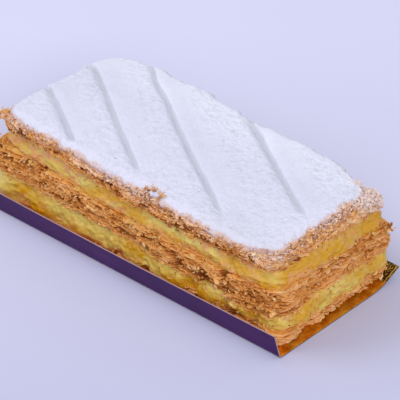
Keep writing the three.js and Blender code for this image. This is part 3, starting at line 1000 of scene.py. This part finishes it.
def rim_flakes(layer, rng):
    """Flakes that lie on the top pastry where the sugar leaves it bare, raised a little at the right end and
    each with its own share of dust."""
    x, y = scattered(RIM_TRIES, rng)
    bare = beyond_sugar(x, y, 1.8 * MM)
    x, y = x[bare], y[bare]
    count = len(x)
    lift = rng.uniform(-0.3, 0.6, count)
    lift += rng.uniform(0, 1.2, count) * near_end(x, 0.4, 0.47)
    centres = np.stack([x, y, layer.above(x, y) + lift * MM], -1)
    outward = unit(np.stack([x, y], -1))
    length = flake_lengths(0.85 * sizes().flake_length, 0.4, count, rng)
    places, faces = flakes(centres, outward, length, 0.4, rng)
    tone = 0.5 + 0.2 * rng.standard_normal(count)
    return places, faces, flake_values(tone, rng.uniform(0, 1.15, count))


def clump(middle, spread, count, length, rng):
    """Flakes heaped round a place by a normal distribution, each pointing away from the slice's middle."""
    centres = np.array(middle) * MM + rng.normal(0, spread * MM, (count, 3)) * [1, 1, 0.35]
    outward = unit(centres[:, :2])
    places, faces = flakes(centres, outward, flake_lengths(length * MM, 0.3, count, rng), 0.8, rng)
    return places, faces, flake_values(0.5 + 0.2 * rng.standard_normal(count), 0.3, -0.3)


# ---- Pastry ----

# The pastry layers: how far the side stands out in millimetres, the seed of its noise, and how many sheets
# and loose flakes it has
PASTRY_LAYERS = {
    "bottom_pastry": dict(edge=0.7, seed=101, sheets=8, crumbs=1100),
    "middle_pastry": dict(edge=1.0, seed=202, sheets=15, crumbs=2800),
    "top_pastry": dict(edge=0.4, seed=303, sheets=8, crumbs=2400),
}

# How much further off than a layer's lower and upper face the cream counts as being, in millimetres: nine
# is out of reach
CREAM_AWAY = {"bottom_pastry": (9, 0), "middle_pastry": (0, 0), "top_pastry": (0.5, 9)}

# The core: how many points its side has from bottom to top, and how large the rings of its flat faces are
CORE_ROWS = 20
CORE_RINGS = (0.985, 0.95, 0.88, 0.7, 0.35)

# The section of a sheet: how far each point lies behind the rim, on which side of the sheet's middle it lies,
# and how much it is an upper one
SHEET_BACK = np.array([-3.0, -0.6, 0.0, -0.45, -3.0]) * MM
SHEET_SIDE = np.array([0.45, 0.5, 0.1, -0.5, -0.45])
SHEET_UPPER = np.array([1.0, 1.0, 0.6, 0.0, 0.0])
SHEET_COLUMNS = 1000


def pastry_core(layer):
    """The closed body of a pastry layer, set back behind the rims of its sheets. Its side follows the
    strands, roughened by finer noise. Its tone is low, as painted shade for a body set back behind the
    sheets, and lowest between the strands and in the cracks, where the painted shade is deepest."""

    def side(share, w):
        reach = layer.reach(share, w)
        plain = layer.side(share, w, reach)
        rough = 0.3 * layered_noise(plain, (1.1, 1.1, 0.5), layer.seed)
        inset = -1.3 + 0.6 * layer.strands(plain) + rough
        inset = inset - 1.2 * crack_depth(plain) - layer.pockets(plain)
        return layer.side(share, w, reach + inset * MM)

    places, faces, w = closed_slab(CORE_ROWS, CORE_RINGS, side, layer.above if layer.name == TOP else None)
    # Painted shade: a low tone for the set-back core, lower between the strands and in the cracks
    tone = 0.1 + 0.15 * layer.strands(places) + 0.1 * noise(places, 1.2, layer.seed + 5)
    tone = tone - 0.4 * crack_depth(places)
    upper = (w == 1) * 1.0
    return places, faces, np.stack([np.where(upper, 0.55, tone), upper], -1)


def pastry_sheet(layer, w, turn, rng):
    """One thin sheet of a layer: a flat pointed section carried round the outline. It rides up and down and
    stands out in strands like the sheets next to it, but less and less like those further off. Its rim is
    torn by broken lines, and here and there it falls far back and leaves a pocket between its neighbours.
    Its tone is that of its strands and of two more broken lines, paler at the right end and darker at the
    left one. Painted shade lowers it where the strands sit back, in pockets, along the lowest sheets of the
    top pastry where it meets the cream, and behind the rim, so that it is palest at the tip of the rim."""
    share = np.arange(SHEET_COLUMNS) / SHEET_COLUMNS
    reach = layer.reach(share, w)
    plain = layer.side(share, w, reach)

    def like_neighbours(size, change, extra):
        moved = plain * [1, 1, 0] + [0, 0, turn * change * size * MM]
        return noise(moved, size, layer.seed + extra)

    strand, pocket = layer.strands(plain), layer.pockets(plain)
    jag = 0.35 * broken_line(share, 280, rng) + 0.3 * broken_line(share, 640, rng)
    rim = reach + MM * (0.15 + 0.65 * strand + 0.4 * like_neighbours(2.2, 1.5, 22) + jag)
    rim -= MM * (2.2 * pocket + 1.6 * crack_depth(plain))
    ride = 0.75 * like_neighbours(8, 0.35, 23) + 0.35 * like_neighbours(3, 0.8, 24)
    thick = 0.42 + 0.26 * broken_line(share, 260, rng)
    curl = 0.4 * broken_line(share, 200, rng)
    grow = rim[:, None] + SHEET_BACK
    places = layer.side(share[:, None] + 0 * grow, w, grow)
    tip = np.exp(SHEET_BACK / (0.9 * MM))
    places[..., 2] += MM * (ride[:, None] + curl[:, None] * tip + thick[:, None] * SHEET_SIDE)
    faces = grid_faces(SHEET_COLUMNS, len(SHEET_BACK), round_rows=True, round_columns=True)
    at_end = near_end(plain[:, 0], 0.46, 0.49)
    paler = 0.2 if layer.name == "bottom_pastry" else 0.08
    # Painted shade: the tone falls where the strands sit back, in pockets and along the top pastry's lowest
    # sheets
    base = 0.5 + paler * at_end - 0.1 * rising(-plain[:, 0], 25, 55) + 0.16 * strand
    base += 0.14 * broken_line(share, 90, rng) + 0.12 * broken_line(share, 500, rng)
    base -= 0.25 * pocket + 0.25 * layer.painted_shade_under_top(plain, w)
    # Painted shade: darker back from the rim, palest at its tip
    tone = base[:, None] + 0.2 * tip - 0.45 * (1 - tip)
    upper = np.broadcast_to(SHEET_UPPER, tone.shape)
    return places.reshape(-1, 3), [faces], np.stack([tone.ravel(), upper.ravel()], -1)


def joined(parts):
    """Several meshes' places, faces and values as one: each mesh's faces are counted on from the last's."""
    places, faces, values = zip(*parts)
    starts = np.cumsum([0] + [len(part) for part in places])
    counted = [array + start for arrays, start in zip(faces, starts) for array in arrays]
    return np.concatenate(places), counted, np.concatenate(values)


def powder(places, upper, seed):
    """How much sugar has settled on a place: most at the level of the top pastry's top face, fading downwards
    over a few millimetres, more on upper sides than on lower ones, and in blotches. Most of it lies in a bell
    along the front and at the right end, where it grows towards the back and is thinner on the outer edge.
    More lies on the crushed corner."""
    x, y, z = places.T
    depth = face_height(TOP, x, y) - z
    blotch = layered_noise(places, 1.8, seed + 9, 3, 0.7) + 0.5 * noise(places, 8, seed + 10)
    at_end = near_end(x, 0.4, 0.46)
    outer = near_end(x, 0.478, 0.505)
    drifted = np.maximum(bell(x, -8 * MM, 20 * MM), at_end * (0.5 + 0.7 * rising(y, -12, 15)))
    settled = (0.45 + 0.55 * upper) * (1.15 - depth / (4.5 * MM)) * (0.5 + 0.5 * drifted) + 0.25 * blotch
    far_corner = 0.7 * rising(x, 46, 54) * rising(y, 8, 20)
    return np.clip(settled * (1 - 0.5 * outer) - 0.12 * at_end, 0, 0.95) + far_corner * (1 - depth / (6 * MM))


def smear(layer, places):
    """How much cream has been drawn over a place by the knife: most where the layer meets cream, fading by
    1 over 1.1 mm, in long patches."""
    x, y, z = places.T
    lower_away, upper_away = CREAM_AWAY[layer.name]
    to_top = (layer.above(x, y) - z) / MM + upper_away
    to_bottom = (z - layer.below(x, y)) / MM + lower_away
    patch = noise(places, (7, 7, 3), layer.seed + 50)
    return np.clip(0.6 - np.minimum(to_top, to_bottom) / 1.1 + 0.8 * patch, 0, 1) * 0.9


def pastry_layer(name, edge, seed, sheets, crumbs, material):
    """A pastry layer: its core with its sheets at nearly even heights, and the flakes on its side. The cream
    is smeared half as thick on the flakes."""
    rng = np.random.default_rng(seed)
    layer = Layer(name, edge, seed)
    heights = (np.arange(sheets) + 0.5 + rng.uniform(-0.2, 0.2, sheets)) / sheets
    leaves = [pastry_core(layer)]
    leaves += [pastry_sheet(layer, w, i, rng) for i, w in enumerate(heights)]
    loose = [side_flakes(layer, crumbs, rng)]
    if name == TOP:
        loose.append(rim_flakes(layer, rng))
    loose += [clump(*heap, rng) for owner, *heap in CLUMPS if owner == name]
    for kind, parts, creamy in (("leaves", leaves, 1.0), ("flakes", loose, 0.5)):
        places, faces, values = joined(parts)
        tone, upper = values.T
        dust = powder(places, upper, seed) if name == TOP else 0 * tone
        shades = {"tone": tone, "dust": dust, "smear": creamy * smear(layer, places)}
        add_piece(
            f"{name}_{kind}", in_tray(places), faces, [material], [name], shades=shades, sharp=40
        )


# ---- Cream ----

# The cream layers: how far the side stands out and the seed of its noise, how much further the foot stands
# out than the top, how much less of it is smeared with pastry, how much it hangs over the layer below, and
# where and how much deeper its yellow is near the right corner, in millimetres and as a share
CREAM_LAYERS = {
    "lower_cream": dict(edge=0.3, seed=404, shelf=0.1, clean=0.35, hanging=1, corner=34, deeper=0.3),
    "upper_cream": dict(edge=-0.7, seed=505, shelf=0.7, clean=0, hanging=0, corner=52, deeper=0.5),
}

# How many points a cream's side has from bottom to top, and how large the rings of its flat faces are
CREAM_ROWS = 30
CREAM_RINGS = (0.97, 0.7, 0.35)
CREAM_CRUMBS = 700

# The middles of the gaps where the cream hangs less and the bottom pastry shows, in millimetres along X
HANG_GAPS = (5.7, 27.4)


def hang(x, y):
    """How far the lower cream hangs down over the bottom pastry: only in front, less towards the right, and
    little in the gaps, which are bells."""
    share = 1 - rising(x, 22, 42)
    for middle in HANG_GAPS:
        share = share * (1 - 0.8 * bell(x, middle * MM, 3.2 * MM))
    front = smooth_step(-y, 0.42 * sizes().width, 0.5 * sizes().width)
    return MM * front * share * np.clip(2.6 + 2.2 * noise(flat_places(x, y), 7, 91), 0, None)


def cream_layer(name, edge, seed, shelf, clean, hanging, corner, deeper, material, crumb_material):
    """A layer of cream: its side swells between the pastry layers by the sine of the way up, with soft
    lobes, lumps and smears drawn out along the slice. Its faces sink into the pastry, unevenly at the rim,
    and crumbs of pastry stick to its side. It is soaked near the pastry, in blotches and at the left end,
    and its yellow is deeper at both ends and near the right corner."""
    rng = np.random.default_rng(seed)
    layer = Layer(name, edge, seed)

    def grown(share, w):
        reach = layer.reach(share, w)
        smooth = layer.side(share, w, reach)
        lobes = 0.8 * layered_noise(smooth, (7, 7, 4), seed, 3)
        smears = 0.3 * layered_noise(smooth, (2.6, 2.6, 1.0), seed + 20, 3)
        lumps = 0.35 * layered_noise(smooth, 1.8, seed + 30, 4, 0.6)
        belly = 0.9 * np.sin(math.pi * np.clip(w, 0.02, 0.98)) ** 0.7 - 0.6
        return reach + MM * (lobes + smears + lumps + belly + shelf * (1 - 2 * w))

    def side(share, w):
        grow = grown(share, w)
        placed = layer.side(share, w, grow)
        sunk = MM * (0.3 + 0.7 * noise(placed, (4, 4, 40), seed + 31))
        drop = hang(placed[..., 0], placed[..., 1]) * hanging
        spill = np.minimum(drop, 1.3 * MM) * (1 - w)
        placed = layer.side(share, w, grow + spill)
        placed[..., 2] += sunk * (2 * w - 1) - drop * (1 - w) ** 1.3
        return placed

    places, faces, w = closed_slab(CREAM_ROWS, CREAM_RINGS, side)
    x = places[:, 0]
    blotch = layered_noise(places, (6, 6, 4), seed + 40, 4, 0.7)
    at_end = near_end(x, 0.4, 0.5)
    at_left = rising(-x, 30, 60)
    soak = smooth_step(2 * np.abs(w - 0.5), 0.3, 1.0) * 0.7 - 0.05 - clean
    soak = soak + 0.85 * blotch - 0.25 * at_end + 0.2 * at_left
    deep = 0.3 + 0.9 * noise(places, (9, 9, 5), seed + 41)
    deep += deeper * at_end + 0.4 * at_left + deeper * bell(x, corner * MM, 14 * MM)
    shades = {"soak": soak, "deep": deep}
    add_piece(name + "_soft", in_tray(places), faces, [material], [name], shades=shades)

    share = rng.random(CREAM_CRUMBS)
    w = 0.5 + 0.5 * np.sign(rng.random(CREAM_CRUMBS) - 0.5) * rng.random(CREAM_CRUMBS) ** 0.5
    grow = grown(share, w) + 0.15 * MM
    length = flake_lengths(0.55 * sizes().flake_length, 0.4, CREAM_CRUMBS, rng)
    places, faces = flakes(layer.side(share, w, grow), outline(share, grow)[1], length, 0.5, rng)
    tone = np.repeat(0.5 + 0.18 * rng.standard_normal(CREAM_CRUMBS), FLAKE_POINTS)
    shades = {"tone": tone, "dust": 0 * tone, "smear": 0 * tone + 0.3}
    add_piece(name + "_crumbs", in_tray(places), faces, [crumb_material], shades=shades)


# ---- Icing sugar ----

# Grooves: where each starts and ends on the slice, in millimetres, and how far its middle bows to the back
GROOVES = (
    ((-63.0, -6.0), (-31.5, -24.2), -0.3),
    ((-61.4, 14.4), (-3.2, -21.0), -0.7),
    ((-45.7, 26.0), (35.6, -20.7), -0.2),
    ((1.8, 26.6), (55.3, -4.0), 0.4),
)
LAST_GROOVE = GROOVES[-1]

# How far the sugar stops short of the right end, in millimetres, at places across the slice
RETREAT_Y = (-27.5, -20, -5, 3, 11, 20, 26)
SUGAR_RETREAT = (3.4, 3.4, 3.8, 3.8, 3.8, 4.5, 5.6)

# How far the sugar's corners are drawn in, in millimetres: the front and the back one at the left end, then
# at the right end
SUGAR_CORNERS = np.array([[2.2, 4.0], [3.6, 4.6]])

# The bare patch at the front edge of the sugar, in millimetres: its middle and half its width along the
# slice, and its depth
BARE_PATCH = (8.0, 4.0, 3.6)

# How many points the coat's grid has along and across the slice, and how large the rings under it are
COAT_STEPS = (430, 200)
COAT_RINGS = (1.0, 0.93, 0.6, 0.3)

# A grain is a lump with a point at each end of three axes
GRAIN_POINTS = np.array([[1, 0, 0], [-1, 0, 0], [0, 1, 0], [0, -1, 0], [0, 0, 1], [0, 0, -1]])
GRAIN_FACES = np.array(
    [[0, 2, 4], [2, 1, 4], [1, 3, 4], [3, 0, 4], [2, 0, 5], [1, 2, 5], [3, 1, 5], [0, 3, 5]]
)
GRAIN_SEED = 606
GRAIN_TRIES = 15000

# The little heap of sugar that lies in the bare patch: its middle in millimetres, and how many grains it has
SUGAR_HEAP = (11.0, -27.2, 34.9)
HEAP_GRAINS = 36


def groove_distance(x, y, groove):
    """Signed distance from a groove's bowed line, and the share of the way along it: the place is measured
    along and across the straight line between the ends, less a bow of 4t(1 - t) times its middle's."""
    first, last, bow = groove
    start, end = np.array(first) * MM, np.array(last) * MM
    length = np.hypot(*(end - start))
    run = (end - start) / length
    px, py = x - start[0], y - start[1]
    along = (px * run[0] + py * run[1]) / length
    across = -px * run[1] + py * run[0]
    t = np.clip(along, 0, 1)
    return across - 4 * bow * MM * t * (1 - t), along


def sugar_relief(x, y):
    """How far the sugar's top stands over its plain height: down into each groove by a bell with one gentle
    and one steep side, up in a soft pillow past the steep side, broad low unevenness, small lumps where the
    scoring has not pressed the sugar smooth past a groove, and up past the last groove's back end. Also
    returns the painted shade of each place: darkest in the grooves' bells, more so towards their steep side,
    and less dark in the hollows between the lumps and towards the right corner in front."""
    s = sizes()
    places = flat_places(x, y)
    relief = 0.22 * MM * layered_noise(places, 11, 61, 2)
    painted_sugar_shade = np.zeros_like(x)
    rough = 0.8 + 0.2 * noise(places, 14, 66)
    for groove in GROOVES:
        across, along = groove_distance(x, y, groove)
        there = smooth_step(along, -0.1, 0.0) * (1 - smooth_step(along, 0.92, 1.04))
        across = across + 0.15 * MM * noise(places, 3, 71)
        down = bell(across, 0, np.where(across < 0, s.groove_slope, s.groove_step))
        pillow = bell(across, 2.6 * MM, 2.2 * MM)
        depth = s.groove_depth * down * (0.75 + 0.25 * noise(places, 9, 72))
        relief += there * (0.2 * MM * pillow - depth)
        # Painted shade in each groove, a little more towards its steep side
        painted_sugar_shade = np.maximum(painted_sugar_shade, there * down * (0.75 + 0.25 * rising(across, -0.6, 0.1)))
        past = rising(across, -1, 1) * (1 - rising(across, 6, 12))
        rough = rough * (1 - 0.8 * past * smooth_step(along, -0.3, -0.1) * (1 - smooth_step(along, 0.8, 1.1)))
    back_end = bell(x, 12 * MM, 6 * MM) * rising(y, 12, 26)
    relief += 1.5 * MM * back_end * rising(groove_distance(x, y, LAST_GROOVE)[0], 0, 1)
    lumps = rough * layered_noise(places, 1.6, 67, 3, 0.8)
    # Painted shade towards the right corner in front, and in the hollows between the lumps
    painted_corner_shade = 0.25 * rising(x, 20, 45) * rising(-y, 8, 24)
    return relief + 0.2 * MM * lumps, np.maximum(painted_sugar_shade, np.clip(-0.4 * lumps, 0, 0.5) + painted_corner_shade)


def sugar_outline(u, v):
    """A place on the coat: the square of u and v stretched to the slice, its corners drawn in by the seventh
    power of uv, its rim moved by a broken wander that is wider behind than in front and pushed a little
    outwards on both long sides, and its right edge and its bare patch drawn back."""
    s = sizes()
    corner = MM * SUGAR_CORNERS[(u > 0).astype(int), (v > 0).astype(int)] * np.abs(u * v) ** 7
    x = u * s.length / 2 - corner * np.sign(u)
    y = v * s.width / 2 - corner * np.sign(v)
    ragged = np.where(v < 0, 0.8, 1.2) * MM * layered_noise(flat_places(x, y), 4.2, 81, 4, 0.55)
    x = x + ragged * np.sign(u) * np.abs(u) ** 40
    y = y + (ragged + MM * np.where(v < 0, 0.4, 0.9)) * np.sign(v) * np.abs(v) ** 20
    x = x - eased(y, RETREAT_Y, SUGAR_RETREAT) * smooth_step(u, 0.55, 1)
    middle, half, depth = (part * MM for part in BARE_PATCH)
    return x, y + depth * bell(x, middle, half) * smooth_step(-v, 0.4, 1)


def coat_top(u, v):
    """The coat's top over the square of u and v: the rim is uneven and thin, and the top rises from it in a
    short round shoulder, 1 - (1 - t)^2 from each side, to the full thickness, with the relief of the grooves.
    Returns its places and the values for the material."""
    s = sizes()
    x, y = sugar_outline(u, v)
    spots = flat_places(x, y)
    from_end, from_side = (1 - np.abs(u)) * s.length / 2, (1 - np.abs(v)) * s.width / 2
    end_slope = np.clip(from_end / np.where(u > 0, 5 * MM, 2.5 * MM), 0, 1)
    side_slope = np.clip(from_side / np.where(v > 0, 1.8 * MM, 3.5 * MM), 0, 1)
    shoulder = (1 - (1 - end_slope) ** 2) * (1 - (1 - side_slope) ** 2)
    inside = rising(np.minimum(from_end, from_side), 0, 3)
    clods = 0.3 * MM * layered_noise(spots, 1.3, 69, 3, 0.7) * (1 - smooth_step(shoulder, 0.4, 1))
    relief, painted_sugar_shade = sugar_relief(x, y)
    rim = s.sugar_rim + s.sugar_rim_right * smooth_step(u, 0.8, 0.95)
    height = rim + (s.sugar - rim) * shoulder + relief * (0.2 + 0.8 * inside) + clods
    z = face_height(TOP, x, y) + np.maximum(height, 0.1 * MM - 1.2 * MM * inside)
    thin = 1 - smooth_step(shoulder + 0.2 * noise(spots, 3, 68), 0.1, 0.8)
    # The first value is painted shade, the last is painted light towards the back, and thin is the sugar's
    # own thinness
    values = {"painted_sugar_shade": painted_sugar_shade, "thin": thin, "painted_far_light": 0.6 * rising(y, 4, 22)}
    return np.stack([x, y, z], -1).reshape(-1, 3), values


def icing_sugar(finish):
    """The coat of sugar: a fine grid bent to the top pastry over an underside of rings, sunk into the pastry.
    The grid is finer towards the rim: its steps follow 1.3t - 0.3t^3."""
    u, v = np.meshgrid(*(np.linspace(-1, 1, steps) for steps in COAT_STEPS), indexing="ij")
    top, values = coat_top(1.3 * u - 0.3 * u**3, 1.3 * v - 0.3 * v**3)
    count = len(top)
    index = np.arange(count).reshape(COAT_STEPS)
    ring = np.concatenate([index[:, 0], index[-1, 1:], index[-2::-1, -1], index[0, -2:0:-1]])
    middle = top[ring].mean(0)
    shrink = np.array(COAT_RINGS)[:, None, None]
    under = middle + (top[ring] - middle) * shrink
    lowered = 0.35 * MM + SUNK * smooth_step(1 - shrink[..., 0], 0, 0.07)
    under[..., 2] = face_height(TOP, under[..., 0], under[..., 1]) - lowered
    places = np.concatenate([top, under.reshape(-1, 3), middle[None] - [0, 0, 2 * sizes().sugar]])
    extra = len(places) - count
    rows = np.concatenate([ring, np.arange(count, len(places) - 1)]).reshape(-1, len(ring))
    wall = rows.ravel()[grid_faces(*rows.shape, round_columns=True)]
    under_values = {"painted_sugar_shade": 0, "thin": 1, "painted_far_light": 0}
    add_piece(
        "icing_sugar_coat",
        in_tray(places),
        [grid_faces(*COAT_STEPS)[:, ::-1], wall, fan(rows[-1], len(places) - 1)],
        [finish],
        ["icing_sugar"],
        shades={name: np.append(values[name].ravel(), [under_values[name]] * extra) for name in values},
        sharp=60,
    )


def sugar_grains(finish):
    """Loose grains and small lumps of sugar: thick on the bare rim of the top pastry, thin on the sugar's own
    top, and a little heap of bigger ones in the bare patch. Each is pulled out of round at random."""
    rng = np.random.default_rng(GRAIN_SEED)
    x, y = scattered(GRAIN_TRIES, rng)
    from_patch = np.hypot(x - BARE_PATCH[0] * MM, y + sizes().width / 2)
    rim = beyond_sugar(x, y, 1.2 * MM) & (from_patch > 6 * MM)
    kept = rim | (rng.random(GRAIN_TRIES) < 0.008) & beyond_sugar(x, y, 60 * MM)
    x, y, rim = x[kept], y[kept], rim[kept]
    on_rim = face_height(TOP, x, y) + rng.uniform(0.1, 1.2, len(x)) * MM
    on_top = face_height(TOP, x, y) + sizes().sugar + sugar_relief(x, y)[0]
    heap = np.array(SUGAR_HEAP) * MM + rng.normal(0, 0.35 * MM, (HEAP_GRAINS, 3)) * [1, 1, 0.5]
    centres = np.concatenate([np.stack([x, y, np.where(rim, on_rim, on_top)], -1), heap])
    count = len(centres)
    size = 0.15 * MM * rng.lognormal(0, 0.5, (count, 1, 1))
    size[len(x) :] *= 3.6
    radius = size * rng.uniform(0.6, 1.2, (count, len(GRAIN_POINTS), 1))
    tilt = rng.uniform(-0.5, 0.5, (count, 3, 3)) + np.eye(3)
    places = in_tray(centres[:, None] + radius * (GRAIN_POINTS @ tilt)).reshape(-1, 3)
    faces = copies(GRAIN_FACES, len(GRAIN_POINTS), count)
    add_piece("icing_sugar_grains", places, faces, [finish], ["icing_sugar"])


# ---- Stage ----

CLIP_START, CLIP_END = 0.01, 20

# The lights: place, the place each looks at, size, power in watts and colour
LIGHTS = {
    "key": ((-0.93, -0.42, 1.05), (0, 0, 0), (0.8, 0.8), 7.5, (0.97, 0.98, 1.0)),
    "fill": ((0.92, -0.68, 0.8), (0, 0, 0.02), (0.8, 0.6), 9.6, (1.0, 0.93, 0.87)),
}
WORLD_COLOUR = (0.9, 0.92, 1.0, 1)
WORLD_STRENGTH = 0.59

# Half the table's width, how many points it has each way, and how far it lies under the tray
TABLE_HALF = 1.5
TABLE_STEPS = 13
TABLE_DROP = 0.02 * MM


def stand(name, data, place, back):
    """A camera or a light at a place, with its back in a direction."""
    thing = link(name, data)
    thing.location = place
    thing.rotation_euler = back.to_track_quat("Z", "Y").to_euler()
    return thing


def camera():
    view = bpy.context.scene.view_settings_of_slice
    a, e = view.azimuth, view.elevation
    back = Vector((math.sin(a) * math.cos(e), -math.cos(a) * math.cos(e), math.sin(e)))
    eye = bpy.data.cameras.new("camera")
    eye.lens = view.lens
    eye.sensor_width = SENSOR_WIDTH
    eye.clip_start, eye.clip_end = CLIP_START, CLIP_END
    place = Vector((tray_middle(), fold_y(), 0)) + Vector(view.target) + back * view.distance
    bpy.context.scene.camera = stand("camera", eye, place, back)


def soft_light(name, place, target, size, watts, colour):
    lamp = bpy.data.lights.new(name, "AREA")
    lamp.shape = "RECTANGLE"
    lamp.size, lamp.size_y = size
    lamp.energy = watts
    lamp.color = colour
    stand(name, lamp, place, Vector(place) - Vector(target))


def floor():
    """A wide flat table under the tray, as a coarse grid."""
    line = np.linspace(-TABLE_HALF, TABLE_HALF, TABLE_STEPS)
    x, y = np.meshgrid(line, line, indexing="ij")
    places = (flat_places(x, y) - [0, 0, TABLE_DROP]).reshape(-1, 3)
    mesh = bpy.data.meshes.new("table")
    mesh.from_pydata(places.tolist(), [], grid_faces(TABLE_STEPS, TABLE_STEPS)[:, ::-1].tolist())
    mesh.materials.append(table_finish())
    table = link("table", mesh)


def world_light():
    world = bpy.data.worlds.new("studio")
    world.use_nodes = True
    background = world.node_tree.nodes["Background"]
    background.inputs["Color"].default_value = WORLD_COLOUR
    background.inputs["Strength"].default_value = WORLD_STRENGTH
    bpy.context.scene.world = world
    bpy.context.scene.view_settings.view_transform = "Standard"


# ---- Operators, panel and start ----


class SLICE_OT_card_tray(bpy.types.Operator):
    """Makes the folded card tray"""

    bl_idname = "slice.card_tray"
    bl_label = "Card tray"

    def execute(self, context):
        card_tray()
        return {"FINISHED"}


class SLICE_OT_pastry_layers(bpy.types.Operator):
    """Makes the three flaky pastry layers"""

    bl_idname = "slice.pastry_layers"
    bl_label = "Pastry layers"

    def execute(self, context):
        material = pastry_finish("baked pastry")
        for name, layer in PASTRY_LAYERS.items():
            pastry_layer(name, material=material, **layer)
        return {"FINISHED"}


class SLICE_OT_cream_layers(bpy.types.Operator):
    """Makes the two layers of custard cream"""

    bl_idname = "slice.cream_layers"
    bl_label = "Cream layers"

    def execute(self, context):
        material, crumb_material = cream_finish(), pastry_finish("pastry crumbs")
        for name, layer in CREAM_LAYERS.items():
            cream_layer(name, material=material, crumb_material=crumb_material, **layer)
        return {"FINISHED"}


class SLICE_OT_icing_sugar(bpy.types.Operator):
    """Makes the coat of icing sugar with its grooves, and its loose grains"""

    bl_idname = "slice.icing_sugar"
    bl_label = "Icing sugar"

    def execute(self, context):
        finish = sugar_finish()
        icing_sugar(finish)
        sugar_grains(finish)
        return {"FINISHED"}


class SLICE_OT_stage(bpy.types.Operator):
    """Makes the table, the lights and the camera"""

    bl_idname = "slice.stage"
    bl_label = "Stage"

    def execute(self, context):
        camera()
        floor()
        world_light()
        for name, settings in LIGHTS.items():
            soft_light(name, *settings)
        return {"FINISHED"}


class SLICE_PT_panel(bpy.types.Panel):
    """Lists the pieces of the slice"""

    bl_idname = "SLICE_PT_panel"
    bl_label = "Mille Feuille Slice"
    bl_space_type = "VIEW_3D"
    bl_region_type = "UI"
    bl_category = "Slice"

    def draw(self, context):
        for operator in OPERATORS:
            self.layout.operator(operator.bl_idname)


OPERATORS = (
    SLICE_OT_stage,
    SLICE_OT_card_tray,
    SLICE_OT_pastry_layers,
    SLICE_OT_cream_layers,
    SLICE_OT_icing_sugar,
)
GROUPS = {
    "slice_sizes": SliceSizes,
    "card_sizes": CardSizes,
    "slice_colours": SliceColours,
    "view_settings_of_slice": ViewSettings,
}


def register():
    for kind in (*GROUPS.values(), *OPERATORS, SLICE_PT_panel):
        bpy.utils.register_class(kind)
    for name, group in GROUPS.items():
        setattr(bpy.types.Scene, name, PointerProperty(type=group))


def unregister():
    for name in GROUPS:
        delattr(bpy.types.Scene, name)
    for kind in (SLICE_PT_panel, *reversed(OPERATORS), *GROUPS.values()):
        bpy.utils.unregister_class(kind)


def main():
    """Builds everything in order."""
    register()
    bpy.ops.slice.stage()
    bpy.ops.slice.card_tray()
    bpy.ops.slice.pastry_layers()
    bpy.ops.slice.cream_layers()
    bpy.ops.slice.icing_sugar()


if __name__ == "__main__":
    main()
